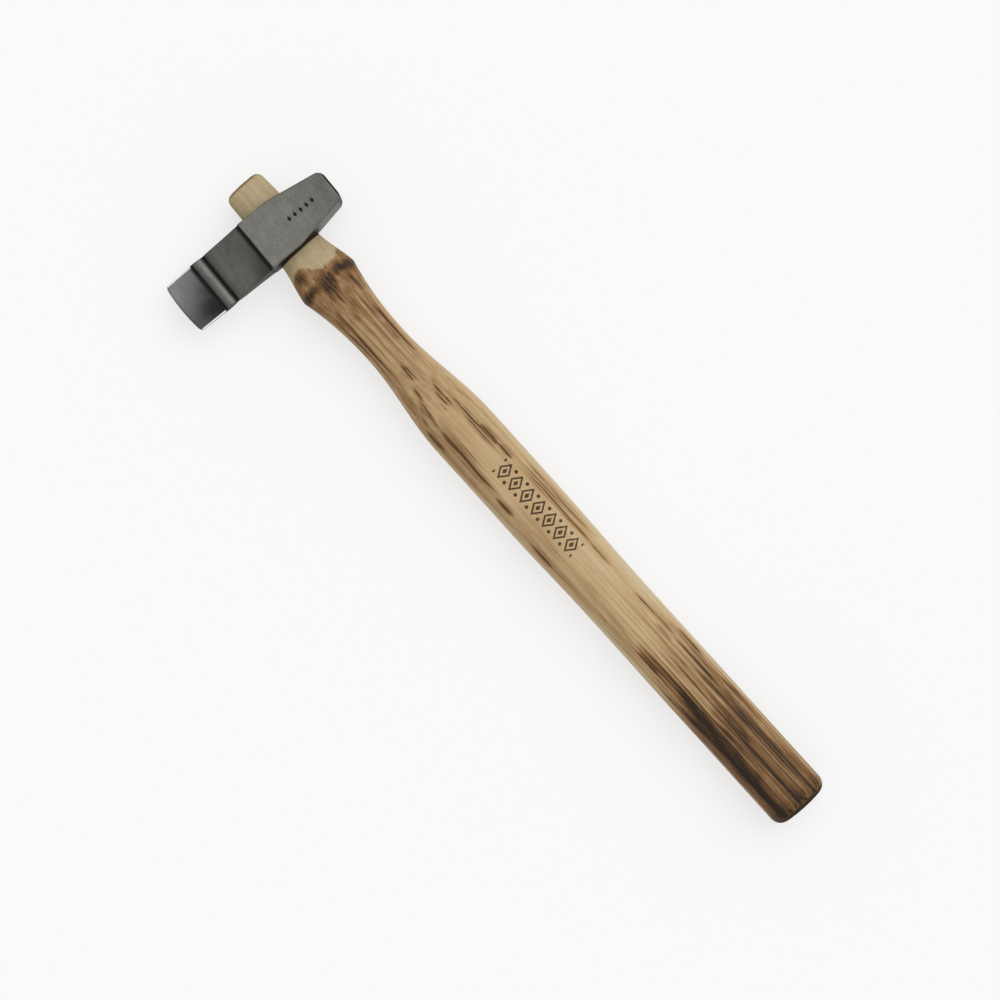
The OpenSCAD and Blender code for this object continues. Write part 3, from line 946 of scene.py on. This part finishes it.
def head_steel(s, eye):
    """Blasted cheeks, a darker ground scoop and bead, a polished blade, painted shade and painted
    reflections.
    """
    material, g, shader = new_material("Forged steel", Metallic=1, IOR=2.5)
    place = place_in_mm(g, s.hang)
    x, y, z = g.apart(place)
    height = abs(z)
    marks = g.group(ground_steel(), position=place, fineness=5)
    normal_x, normal_y, normal_z = facing(g)
    upright = abs(normal_z)
    along = abs(normal_y * cos(s.hang) + normal_x * sin(s.hang))
    mottle = g.noise(place, (0.16, 0.16, 0.16), detail=3) - 0.5
    cloud = g.noise(place, (0.3, 0.55, 0.4), detail=3, shift=(4, 9, 2)) - 0.5
    speckle = g.noise(place, (1.1, 1.1, 1.1), detail=3, roughness=0.7) - 0.5

    # Where the head is ground, polished, beaded and bevelled
    on_cheek = g.rise(upright, 0.25, 0.45)
    shoulder, crease = -s.shoulder / MM, -s.crease / MM
    root = crease - s.bead_length / MM
    tip = root - s.blade_length / MM
    ground = g.rise(y, shoulder - 0.1, shoulder - 0.5) * on_cheek
    polished = g.rise(y, root - 0.1, root - 0.5)
    worked = g.either(ground, polished)
    forged = 1 - polished
    bead = g.rise(y, crease + 0.2, crease - 0.6) * forged
    # Painted highlight: the bevels are coloured white from the outside in, reaching less far in on
    # the handle's side
    bevel = g.rise(g.painted("bevel"), 0, g.rise(x, -1, 1, 0.25, 1)) * polished

    # Painted reflection over the blade: it darkens the blade, most by the crease on the handle's
    # side
    drift = x * 0.042 + g.rise(x, 7, 12, 0.04, -0.14) + mottle * 0.4 + cloud * 0.25
    painted_reflection = g.rise(drift + g.rise(y, tip, root, -0.1, 0.34), -0.45, 0.75) * polished
    # Painted shade: the scoop is darkened most in the corner under the shoulder
    corner = g.rise(y + x * 0.45 + cloud * 4, shoulder - 8, shoulder + 4) * ground
    # Painted shade: the cheeks darken towards the struck end
    cheek_end = g.rise(y, 6, s.struck_reach / MM)
    tint = g.layers(
        flat(s.cheek_steel),
        (cheek_end * 0.3, flat(s.scale, 2)),
        (ground, flat(s.scoop_steel)),
        (corner * 0.6, flat(s.scale)),
        (bead, flat(s.scoop_steel)),
        (polished, flat(s.blade_steel)),
        (painted_reflection * 0.97, flat(s.scale, 0.9)),
    )

    def near(line, reach, dark):
        return g.rise(abs(y - line), reach, 0.3, 0, dark)

    # Painted shade along the step under the shoulder and in the two creases
    creases = g.either(near(shoulder - 0.8, 1.5, 0.95), near(crease + 0.1, 1.9, 0.95),
                       near(root + 0.1, 1.8, 0.97))
    # Painted dark reflections on the struck end's lip and, thinly, on the eased edges, and painted
    # shade along the middle of the flanks
    by_end = g.rise(y, 25, 27)
    lip = g.rise(upright, 0.985, 0.8) * g.rise(along, 0.99, 0.94) * by_end * 0.95
    struck = g.rise(along, 0.93, 0.99) * by_end
    rim = g.painted("arris") * forged * 0.12
    flank = (1 - on_cheek) * g.rise(along, 0.7, 0.3) * forged
    middle = g.rise(height + mottle * 5, 12, 5, 0, 0.55) * g.rise(y, 16, 8)
    # Painted shade lies on the flanks in an oval around the eye, beside the handle
    aside = y * (2 * MM / eye.near_length)
    above = height * (MM / 0.68 / BODY_T)
    out = aside * aside + above * above + mottle * 0.3
    middle = g.either(middle, g.rise(out, 1.75, 1, 0, 0.9)) * flank
    # Painted shade in the punch marks
    stamped = g.rise(g.painted("recess"), 0, 0.5)
    painted_shade = g.either(creases * (1 - bevel), lip, rim, stamped, middle)
    # The painted shade and painted dark reflections take the scale colour, and the bevels a painted
    # white highlight
    tint = g.layers(
        tint,
        (painted_shade, flat(s.scale)),
        (struck * 0.8, flat(s.cheek_steel, 1.5)),
        (bevel, grey(1)),
    )
    shade = (
        0.9 + mottle * 0.5 + cloud * g.rise(ground, 0, 1, 0.3, 0.5)
        + speckle * g.rise(worked, 0, 1, 0.8, 0.35)
        + marks["Waves"] * 0.14 + (marks["Lines"] - 0.26) * worked * 0.25
    )
    rough = (
        0.58 - ground * 0.1 - polished * 0.24 + bevel * 0.2 + middle * 0.25 - struck * 0.15
        + (marks["Grit"] - 0.5) * 0.15
    )
    relief = (1 - worked) * marks["Grit"] + worked * marks["Lines"] * 0.5
    finish_shader(g, shader, g.mix(1, tint, shade, "MULTIPLY"), rough, relief, 0.35, 0.03)
    return material


def flat(tint, share=1.0):
    """A setting's colour as a socket takes it, made lighter or darker by share."""
    return (*(min(1.0, part * share) for part in tint), 1.0)


# ---- Handle ----

# Ovals on the crown of a rounded end, round its edge and from the eye's waist to a mouth
CROWN_OVALS = 10
ROUND_OVALS = 12
EYE_OVALS = 14
# A cutter reaches this far past the tenon's end
OVERSHOOT = 0.001
# Length of the hollows that the spokeshave left
SHAVE_LENGTH = 0.012


def end_stations(tip, way, width, height, square, round_over, crown):
    """Ovals of a crowned and rounded end, from its middle outwards. way is 1 at the butt."""
    turned = radians(78)  # how far the round has turned where the crown meets it
    inset = 2 * round_over * (1 - cos(turned))
    stations = [Station(tip, 0.0, 0.0, square)]
    for i in range(1, CROWN_OVALS):
        share = i / CROWN_OVALS
        stations.append(Station(tip - way * crown * share ** 2,
                                share * (width - inset), share * (height - inset), square))
    for i in range(ROUND_OVALS + 1):
        turn = turned * (1 - i / ROUND_OVALS)
        cut = 2 * round_over * (1 - cos(turn))
        stations.append(Station(tip - way * (crown + round_over * (sin(turned) - sin(turn))),
                                width - cut, height - cut, square))
    return stations


def run(start, end, first, last, shape, spacing=0.0009):
    """Ovals from one place and size to another. shape turns 0 to 1 into the change's share."""
    steps = max(1, round((end - start) / spacing))
    shares = [i / steps for i in range(1, steps + 1)]
    return [Station(blend(start, end, t), *(blend(a, b, shape(t)) for a, b in zip(first, last)))
            for t in shares]


def tenon_stations(s, eye):
    """The tenon, from its end to the eye's mouth on the handle's side."""
    end = end_stations(HANDLE_LOW.x, -1, s.tenon_width, s.tenon_height, eye.square,
                       s.tenon_round, s.tenon_dome)
    reach = mouth_x()
    in_eye = []
    for i in range(-EYE_OVALS, EYE_OVALS + 1):
        x = reach * i / EYE_OVALS
        size_y, size_z = eye_oval(eye, x)
        in_eye.append(Station(x, size_y - 2 * eye.fit, size_z - 2 * eye.fit, eye.square))
    proud = run(end[-1].along, -reach, end[-1][1:4], in_eye[0][1:4], lambda t: t)
    return end + proud[:-1] + in_eye


def handle_stations(s, eye):
    """The whole handle, from the tenon's end to the butt."""
    tenon = tenon_stations(s, eye)
    start, butt = mouth_x(), HANDLE_HIGH.x
    mouth = tenon[-1][1:4]
    ridge = (s.ridge_width, s.ridge_height, s.square)
    neck = (s.neck_width, s.neck_height, s.square)
    swell = (s.swell_width, s.swell_height, s.square)
    grip = (s.grip_width, s.grip_height, s.square)
    ridge_x, neck_x = start + s.ridge_gap, start + s.neck_gap
    swell_x, grip_x = start + s.swell_gap, butt - s.grip_length
    end = end_stations(butt, 1, *grip, s.butt_round, s.butt_crown)[::-1]
    return (
        tenon
        + run(start, ridge_x, mouth, ridge, lambda t: (t + ease(t)) / 2)
        + run(ridge_x, neck_x, ridge, neck, lambda t: 1 - (1 - t) ** s.neck_fall)
        + run(neck_x, swell_x, neck, swell, ease)
        + run(swell_x, swell_x + s.swell_length, swell, swell, ease)
        + run(swell_x + s.swell_length, grip_x, swell, grip, ease)
        + run(grip_x, end[0].along, grip, grip, ease)[:-1]
        + end
    )


def kerf_width(s, x):
    return blend(s.kerf_mouth, s.kerf_root, (x - HANDLE_LOW.x) / s.kerf_depth)


def kerf_slab(s, end, gap):
    """The saw kerf as far as end, or the wooden wedge's slab where gap is above 0."""
    start = HANDLE_LOW.x - OVERSHOOT
    near, far = kerf_width(s, start) / 2 - gap, kerf_width(s, end) / 2 - gap
    outline = taper(start, end, near, far, MID_Z)
    return prism("kerf_slab", outline, -s.ridge_width, s.ridge_width,
                 lambda x, z, y: (x, y, z))


def steel_half(w, along):
    return blend(w.steel_t, w.point_t, along / w.steel_length) / 2


def steel_slot(w, side):
    """What a steel wedge takes out of the wood."""
    start, end = HANDLE_LOW.x - BARBED_START - OVERSHOOT, w.steel_length + w.fit
    near, far = steel_half(w, start) + w.fit, steel_half(w, end) + w.fit
    outline = taper(BARBED_START + start, BARBED_START + end, near, far, side * w.pitch / 2)
    reach = w.steel_width / 2 + w.fit
    return prism("steel_slot", outline, MID_Z - reach, MID_Z + reach,
                 lambda x, y, z: (x, y, z))


def whittle(handle, depth, start):
    """Makes the handle's surface as uneven as a spokeshave leaves it, past start."""
    for vertex in handle.data.vertices:
        x, y, z = vertex.co / SHAVE_LENGTH
        share = soft_step(vertex.co.x, start, start + 0.006)
        share *= soft_step(vertex.co.x, HANDLE_HIGH.x, HANDLE_HIGH.x - 0.008)
        push = depth * share * (noise.noise(Vector((0.3 * x, y, z))) - 0.6)
        out = Vector((0, vertex.co.y, vertex.co.z - MID_Z)).normalized()
        vertex.co += out * push


# How scorched the handle is along its length: (millimetres from the eye's centre, share)
TONES = ((24, 0.54), (34, 0.55), (48, 0.5), (64, 0.4), (84, 0.34), (118, 0.26), (160, 0.19),
         (215, 0.17), (236, 0.26), (262, 0.46), (284, 0.61), (331, 0.65))

# Streaks that the torch burned along the grain of the upper side, in millimetres. Height is
# how far a streak lies from the handle's middle line, and lean is how it climbs.
Streak = namedtuple("Streak", "start end height width darkness lean", defaults=(0.0,))
STREAKS = (
    # Ridge
    Streak(25.5, 35.5, 1.9, 0.5, 0.8),
    Streak(26, 39, 0.4, 0.45, 0.8),
    Streak(26.5, 44, -1.3, 0.5, 0.95),
    Streak(28, 39, -2.9, 0.5, 0.7),
    Streak(31.5, 44, 8.1, 0.6, 0.8),
    # Neck
    Streak(46, 80, 7.4, 0.45, 0.8),
    Streak(57, 71, 5.9, 0.6, 0.4),
    Streak(51, 80, -6.6, 0.45, 0.75),
    Streak(52, 68, -8.3, 0.6, 0.4),
    # Rise to the swell
    Streak(77.5, 88, -0.3, 0.5, 0.7),
    Streak(77, 87.5, -1.6, 0.5, 0.8),
    Streak(86, 97, -3.6, 0.5, 0.8, -0.12),
    Streak(91, 112, -5.2, 0.6, 0.7, -0.12),
    Streak(91, 107, 4.2, 0.5, 0.6),
    Streak(92, 106, 2.5, 0.5, 0.8),
    Streak(99, 106, 0.2, 0.45, 0.6),
    # Swell
    Streak(95, 132, 6.2, 0.6, 0.9),
    Streak(116, 132, 7, 0.6, 1.35),
    Streak(107, 132, 4.8, 0.5, 0.8),
    Streak(129, 139, 7.5, 0.5, 0.9),
    Streak(138, 196, 8.3, 0.7, 1.05),
    Streak(137, 190, 10.9, 0.7, 0.65),
    Streak(140, 172, 9.6, 0.5, 0.6),
    Streak(103, 150, -7, 0.7, 1.25, -0.012),
    Streak(145, 158, -9, 0.6, 1.2),
    Streak(101, 138, -5.3, 1.2, 0.4),
    Streak(104, 118, -11.7, 0.6, 0.7),
    Streak(168, 185, -11.1, 0.6, 0.8),
    # Shaft
    Streak(184, 201, 7.9, 0.6, 0.7),
    Streak(212, 244, 8.1, 0.6, 0.85),
    Streak(229, 242, 5.8, 0.6, 0.7),
    Streak(140, 240, -5.3, 1.3, 0.35),
    # Grip
    Streak(238, 272, 7.6, 1, 1.15),
    Streak(248, 300, 5.6, 0.7, 0.7),
    Streak(236, 256, 11.1, 0.6, 0.75),
    Streak(265, 293, 11.2, 0.6, 0.7),
    Streak(280, 365, 8, 0.9, 0.45),
    Streak(270, 300, 1.4, 0.6, 0.75),
    Streak(266, 370, 0.1, 0.6, 0.95),
    Streak(270, 314, -1.4, 0.6, 0.7),
    Streak(276, 305, -2.9, 0.8, 0.6, 0.02),
    Streak(226, 282, -5.2, 0.6, 0.85),
    Streak(229, 256, -6.8, 0.5, 0.9),
    Streak(232, 250, -7.9, 0.5, 0.7),
    Streak(244, 350, -9.9, 0.7, 0.95),
)

# Patches on the same side that are burned darker, or less, than what lies around them, and one
# strip of painted light
Patch = namedtuple("Patch", "x y reach_x reach_y darkness")
PATCHES = (
    # Ridge
    Patch(30.8, 12.2, 2.9, 4.8, 0.4),
    Patch(29, 6.4, 2.7, 4.4, 0.36),
    Patch(29.6, -7.4, 2.5, 3.4, 0.36),
    Patch(30.7, -12, 2.6, 4.2, 0.32),
    Patch(30.2, -1.4, 5.2, 4, 0.34),
    Patch(22, -8.2, 3.8, 2.4, 0.28),
    # Grip
    Patch(262, -6.4, 28, 2, 0.24),
    Patch(284, -7.2, 26, 4.2, 0.24),
    Patch(308, -9.2, 22, 4.2, 0.2),
    Patch(328, -10, 10, 5, 0.16),
    Patch(316, -3.8, 12, 2.4, -0.14),
    # Painted light: a paler strip along the grip's upper edge, where the surface curves away
    Patch(284, 12.4, 34, 3.2, -0.2),
)

# The burned border: its start, its end and its middle across the handle, in millimetres
BORDER = (136.6, 185.4, 1.4)
LOZENGES = 7


def poker_work(g, place, start, end, middle):
    """A burned border of lozenges and dots on the upper side, from start to end."""
    x, y, z = g.apart(place)
    pitch = (end - start) / LOZENGES
    off = abs(g.math("FRACT", (x - start) / pitch) - 0.5) * pitch
    up = abs(y - middle)
    lozenge = off * (2 / (0.84 * pitch)) + up * (1 / 4.3)
    outline = g.rise(abs(lozenge - 0.86), 0.22, 0.11)
    heart = g.rise(lozenge, 0.42, 0.28)
    dots = g.rise(g.far(pitch / 2 - off, up - 3.4), 1, 0.6)
    inside = g.rise(x, start - 0.2, start) * g.rise(x, end + 0.2, end) * g.rise(z, 0, 1)
    return g.either(outline, heart, dots) * inside


def scorched_hickory(s):
    """Torch-burned hickory with raised grain, bare beside the head, with some painted light and
    shade.
    """
    material, g, shader = new_material("Scorched hickory", Specular_IOR_Level=0.2)
    place = place_in_mm(g)
    x, y, z = g.apart(place)
    tip, mouth, butt = HANDLE_LOW.x / MM, mouth_x() / MM, HANDLE_HIGH.x / MM
    grain = g.group(hardwood_grain(), position=place, ring_spacing=1.1)
    fibre, strand = grain["Fibre"], grain["Strand"]
    blotch = g.noise(place, (0.05, 0.16, 0.16), detail=3) - 0.5
    cloud = g.noise(place, (0.22, 0.34, 0.34), detail=3, shift=(5, 2, 8)) - 0.5

    # The under side takes the same marks, turned over and moved along
    below = g.rise(z, 0.5, -0.5)
    upright = 1 - below * 2
    sway = g.noise(place, (0.035, 0.14, 0.14), detail=2) - 0.5
    shiver = g.noise(place, (0.12, 0.9, 0.9), shift=(2, 7, 4)) - 0.5
    marked = g.together(x + shiver * 4 - below * 4,
                        (y + (sway * 1.7 + shiver * 0.5)) * upright, z)
    line_tree, spot_tree = scorch_line(), scorch_spot()
    burned = patch_scorch_and_light = 0
    for streak in STREAKS:
        burned = g.group(line_tree, position=marked, before=burned,
                         **streak._asdict())["Scorch"]
    for patch in PATCHES:
        patch_scorch_and_light = g.group(spot_tree, position=marked, before=patch_scorch_and_light,
                         middle=(patch.x, patch.y, 0), darkness=patch.darkness,
                         reach=(patch.reach_x, patch.reach_y, 1))["Scorch"]
    broken = g.noise(place, (0.06, 0.8, 0.8), detail=3, shift=(6, 1, 3))
    burned = (burned * g.rise(broken, 0.3, 0.6, 0.5, 1.15) * (0.66 + strand * 0.56)
              * g.rise(x, 240, 280, 1, 0.7))

    # The torch crept further along some fibres than along others
    crept = blotch * 12 + (fibre - 0.5) * 16
    tone = g.curve(x + crept * g.rise(x, 40, 90), TONES)
    side = y * upright
    # Partly scorch, partly painted shade: darker towards -Y and a little towards +Y; past 180 mm
    # the +Y edge is painted lighter
    flanks = (
        (g.rise(side, -4.4, -7, 0, 0.1) + g.rise(side, -8, -13, 0, 0.12)
         + g.rise(side, 6, 12, 0, 0.05))
        * g.rise(x, 36, 60) * g.rise(x, 240, 180, 0.3, 1)
        + g.rise(side, 6, 12, 0, -0.03) * g.rise(x, 180, 200)
    )
    # Painted light: wood whose surface turns away from the broad sides is paler
    turned = g.rise(abs(facing(g)[2]), 0.85, 0.3, 0, -0.24) * g.rise(x, 34, 46)
    scorch_and_light = g.math("MINIMUM", tone + flanks + blotch * 0.2 + patch_scorch_and_light + turned, 0.95)
    # Fine dark veins show where the wood is burned, and most of all in the grip
    veined = (g.rise(tone, 0.16, 0.6, 0.05, 0.36) * g.rise(x, 190, 250, 0.3, 1)
              + g.rise(burned, 0.02, 0.2, 0, 0.24))
    # Beside the ridge the wood is cut across the grain, and burned more evenly
    uneven = ((fibre * 0.38 + strand * 0.2) * g.rise(x, 36, 50, 0.45, 1)
              + g.rise(x, 36, 50, 0.16, 0))
    scorch = (
        scorch_and_light * (0.67 + uneven + cloud * 0.34) + (fibre - 0.5) * 0.12
        + grain["Vein"] * veined + grain["Line"] * (0.06 + tone * 0.16) + grain["Pore"] * 0.08
        + burned + g.rise(x, butt - 12, butt - 3, 0, 0.14)
    )
    # Between the neck and the grip the marks stay brown
    scorch = g.math("MINIMUM", scorch, g.rise(x, 48, 72, 1, 0.85)
                    + g.rise(x, 236, 262, 0, 0.15))
    # The edge of the butt is burned evenly, and its end grain shows through
    evenly = (g.rise(x, butt - 4.6, butt - 1.2, 0.76, 1.02)
              + g.rise(x, butt - 1.6, butt - 0.9) * (grain["Line"] * -0.3))
    scorch = g.either(scorch * g.rise(x, butt - 1.4, butt - 3),
                      evenly * g.rise(x, butt - 4.6, butt - 2.4))

    # The wood beside the head was covered: bare up to an uneven edge before the ridge, and
    # soiled at the tenon's end and in the eye
    edge = (25 + g.rise(y, 2.5, -7, 0, -6.6) + g.rise(y, -7.5, -12, 0, 3)
            + g.rise(y, 8, 12.5, 0, -3.5) + sway * 1.6 + shiver * 1.6)
    bare = g.rise(edge - x, -0.7, 1.1)
    soiled = (g.rise(x, tip + 2.2, tip + 0.3, 0, 0.55)
              + g.rise(x, mouth + 0.5, mouth + 0.1, 0, 0.9) * g.rise(x, 0, 1))

    tint = g.ramp(scorch, (0, flat(s.pale_wood)), (0.22, flat(s.tan_wood)),
                  (0.6, flat(s.brown_wood)), (1, flat(s.char)))
    plain = g.ramp(fibre * 0.1 + blotch * 0.25 + cloud * 0.2 + soiled + 0.04,
                   (0, flat(s.bare_wood)), (0.5, flat(s.brown_wood)), (1, flat(s.char)))
    border = poker_work(g, place, *BORDER) * (1 - below) * (0.82 + fibre * 0.2)
    tint = g.layers(tint, (bare, plain), (border, flat(s.brown_wood, 0.16)))
    rough = 0.5 + fibre * 0.12 + bare * 0.15 + g.rise(x, butt - 5, butt - 2, 0, 0.3)
    relief = grain["Line"] * -0.6 - grain["Pore"] * 0.5 - fibre * 0.35
    finish_shader(g, shader, tint, rough, relief, 0.5, 0.14)
    return material


# ---- Wedges ----

def wedge_wood():
    """Darker wood than the handle's, with its growth lines and pores."""
    material, g, shader = new_material("Wedge wood", IOR=1.45)
    grain = g.group(hardwood_grain(), position=place_in_mm(g), ring_spacing=1.1, drift=2)
    tint = g.ramp(grain["Line"] * 0.6 + grain["Pore"] * 0.4,
                  (0, seen(150, 112, 72)), (1, seen(86, 58, 34)))
    finish_shader(g, shader, tint, 0.6 + grain["Fibre"] * 0.2, grain["Fibre"], 0.4, 0.1)
    return material


def wedge_steel():
    """Dark stamped steel with the marks of the strip that it was cut from."""
    material, g, shader = new_material("Wedge steel", Metallic=1, IOR=2.5)
    marks = g.group(ground_steel(), position=place_in_mm(g), fineness=8)
    tint = g.ramp(marks["Waves"], (0.3, seen(86, 86, 88)), (0.7, seen(130, 130, 130)))
    finish_shader(g, shader, tint, 0.35 + marks["Lines"] * 0.2, marks["Lines"] + marks["Grit"],
                  0.3, 0.05)
    return material


# ---- Operators ----

class TOOL_OT_stage(Operator):
    """Makes the floor, the light and the camera"""
    bl_idname = "top_tool.stage"
    bl_label = "Stage"

    def execute(self, context):
        s = context.scene.tool_stage
        make_floor(s)
        make_light(context.scene)
        data = bpy.data.cameras.new("camera")
        data.lens = s.lens
        data.clip_end = 30.0
        camera = bpy.data.objects.new("camera", data)
        camera.location = (s.camera_x, s.camera_y, MID_Z + s.camera_height)
        camera.rotation_euler = (0.0, 0.0, s.camera_turn)
        context.scene.collection.objects.link(camera)
        context.scene.camera = camera
        context.scene.view_settings.view_transform = "Standard"
        return {"FINISHED"}


def make_floor(s):
    half = s.floor_size / 2
    corners = [(-half, -half, 0), (half, -half, 0), (half, half, 0), (-half, half, 0)]
    floor = new_object("floor", corners, [(0, 1, 2, 3)])
    # It glows by itself, so that it stays pale where the light falls off
    material, _, shader = new_material("Pale floor", Roughness=0.9, IOR=1.3)
    shader.inputs["Base Color"].default_value = flat(s.floor_colour, 0.3)
    shader.inputs["Emission Color"].default_value = flat(s.floor_colour)
    shader.inputs["Emission Strength"].default_value = 0.71
    floor.data.materials.append(material)


def make_light(scene):
    """A bright overhead dome that darkens to the horizon, and a broad soft key from +Y."""
    world = bpy.data.worlds.new("studio")
    scene.world = world
    world.use_nodes = True
    world.node_tree.nodes.clear()
    g = Graph(world.node_tree)
    up = g.apart(g.value("ShaderNodeTexCoord", output="Generated"))[2]
    dome = g.ramp(up, (0.0, grey(0.40)), (0.35, grey(0.43)), (0.85, grey(0.85)))
    seen_by_camera = g.value("ShaderNodeLightPath", output="Is Camera Ray")
    backdrop = g.mix(seen_by_camera, dome, seen(251, 251, 251))
    g.node("ShaderNodeOutputWorld",
           {"Surface": g.value("ShaderNodeBackground", {"Color": backdrop})})

    sun = bpy.data.lights.new("key", "SUN")
    sun.energy = 1.3
    sun.angle = radians(60)
    key = bpy.data.objects.new("key", sun)
    key.rotation_euler = Vector((-0.15, 0.75, 1.0)).to_track_quat("Z", "Y").to_euler()
    scene.collection.objects.link(key)


class TOOL_OT_head(Operator):
    """Makes the forged head, with its eye and punch marks"""
    bl_idname = "top_tool.head"
    bl_label = "Forged head"

    def execute(self, context):
        s, eye = context.scene.tool_head, context.scene.tool_eye
        head = forged_body(s)
        carve(head, eye_cutter(s, eye))
        carve(head, punches(s))
        paint_head(head, s)
        finish_piece(head, head_steel(s, eye), "head", radians(20))
        return {"FINISHED"}


class TOOL_OT_handle(Operator):
    """Makes the hickory handle, sawn and driven open for its wedges"""
    bl_idname = "top_tool.handle"
    bl_label = "Hickory handle"

    def execute(self, context):
        scene = context.scene
        s, eye, wedges = scene.tool_handle, scene.tool_eye, scene.tool_wedges
        wood = scorched_hickory(s)
        handle = oval_body("hickory_handle", handle_stations(s, eye), around=136,
                           material=wood)
        whittle(handle, s.whittle, mouth_x())
        carve(handle, kerf_slab(s, HANDLE_LOW.x + s.kerf_depth, 0.0))
        for side in (-1, 1):
            carve(handle, steel_slot(wedges, side))
        finish_piece(handle, wood, "handle", radians(40), weighted=False)
        return {"FINISHED"}


class TOOL_OT_wooden_wedge(Operator):
    """Makes the wooden wedge, trimmed flush with the tenon"""
    bl_idname = "top_tool.wooden_wedge"
    bl_label = "Wooden wedge"

    def execute(self, context):
        scene = context.scene
        s, eye, wedges = scene.tool_handle, scene.tool_eye, scene.tool_wedges
        tenon = tenon_stations(s, eye)
        closed = tenon + [Station(tenon[-1].along, 0.0, 0.0, eye.square)]
        wood = wedge_wood()
        wedge = oval_body("trimmed_wedge", closed, around=96, material=wood)
        carve(wedge, kerf_slab(s, WEDGE_END, wedges.fit), "INTERSECT")
        for side in (-1, 1):
            carve(wedge, steel_slot(wedges, side))
        finish_piece(wedge, wood, "wooden_wedge", radians(30))
        return {"FINISHED"}


class TOOL_OT_steel_wedges(Operator):
    """Makes the two barbed steel wedges, driven across the wooden one"""
    bl_idname = "top_tool.steel_wedges"
    bl_label = "Steel wedges"

    def execute(self, context):
        w = context.scene.tool_wedges
        step = w.steel_length / w.barbs
        upper = []
        for i in range(w.barbs):
            upper.append((i * step, steel_half(w, i * step)))
            upper.append(((i + 1) * step, steel_half(w, (i + 1) * step) - w.barb))
        outline = upper + [(along, -half) for along, half in reversed(upper)]
        pieces = [
            prism("barbed_wedges", outline, MID_Z - w.steel_width / 2, MID_Z + w.steel_width / 2,
                  lambda x, y, z, side=side: (BARBED_START + x, side * w.pitch / 2 + y, z))
            for side in (-1, 1)
        ]
        both = join(pieces)
        edges = both.modifiers.new("Eased edges", "BEVEL")
        edges.width = 0.12 * MM
        edges.segments = 2
        edges.limit_method = "ANGLE"
        keep_mesh(both)
        finish_piece(both, wedge_steel(), "steel_wedges", radians(30))
        return {"FINISHED"}


def join(pieces):
    """One piece from several, under the first one's name."""
    bm = bmesh.new()
    for piece in pieces:
        bm.from_mesh(piece.data)
    bm.to_mesh(pieces[0].data)
    bm.free()
    for piece in pieces[1:]:
        bpy.data.objects.remove(piece)
    return pieces[0]


class VIEW3D_PT_top_tool(Panel):
    """Lists the steps that build the tool, and their settings"""
    bl_label = "Top Tool"
    bl_space_type = "VIEW_3D"
    bl_region_type = "UI"
    bl_category = "Top Tool"

    def draw(self, context):
        for operator in OPERATORS:
            self.layout.operator(operator.bl_idname)
        for name in SETTINGS:
            settings = getattr(context.scene, name)
            box = self.layout.box()
            box.label(text=name.replace("_", " ").capitalize())
            for field in settings.__annotations__:
                box.prop(settings, field)


OPERATORS = (TOOL_OT_stage, TOOL_OT_head, TOOL_OT_handle, TOOL_OT_wooden_wedge,
             TOOL_OT_steel_wedges)
SETTINGS = {
    "tool_stage": StageSettings,
    "tool_head": HeadSettings,
    "tool_eye": EyeSettings,
    "tool_handle": HandleSettings,
    "tool_wedges": WedgeSettings,
}
CLASSES = (*SETTINGS.values(), *OPERATORS, VIEW3D_PT_top_tool)


def register():
    for made in CLASSES:
        bpy.utils.register_class(made)
    for name, group in SETTINGS.items():
        setattr(bpy.types.Scene, name, PointerProperty(type=group))


def unregister():
    for name in SETTINGS:
        delattr(bpy.types.Scene, name)
    for made in reversed(CLASSES):
        bpy.utils.unregister_class(made)


def main():
    register()
    bpy.ops.top_tool.stage()
    bpy.ops.top_tool.head()
    bpy.ops.top_tool.handle()
    bpy.ops.top_tool.wooden_wedge()
    bpy.ops.top_tool.steel_wedges()


if __name__ == "__main__":
    main()
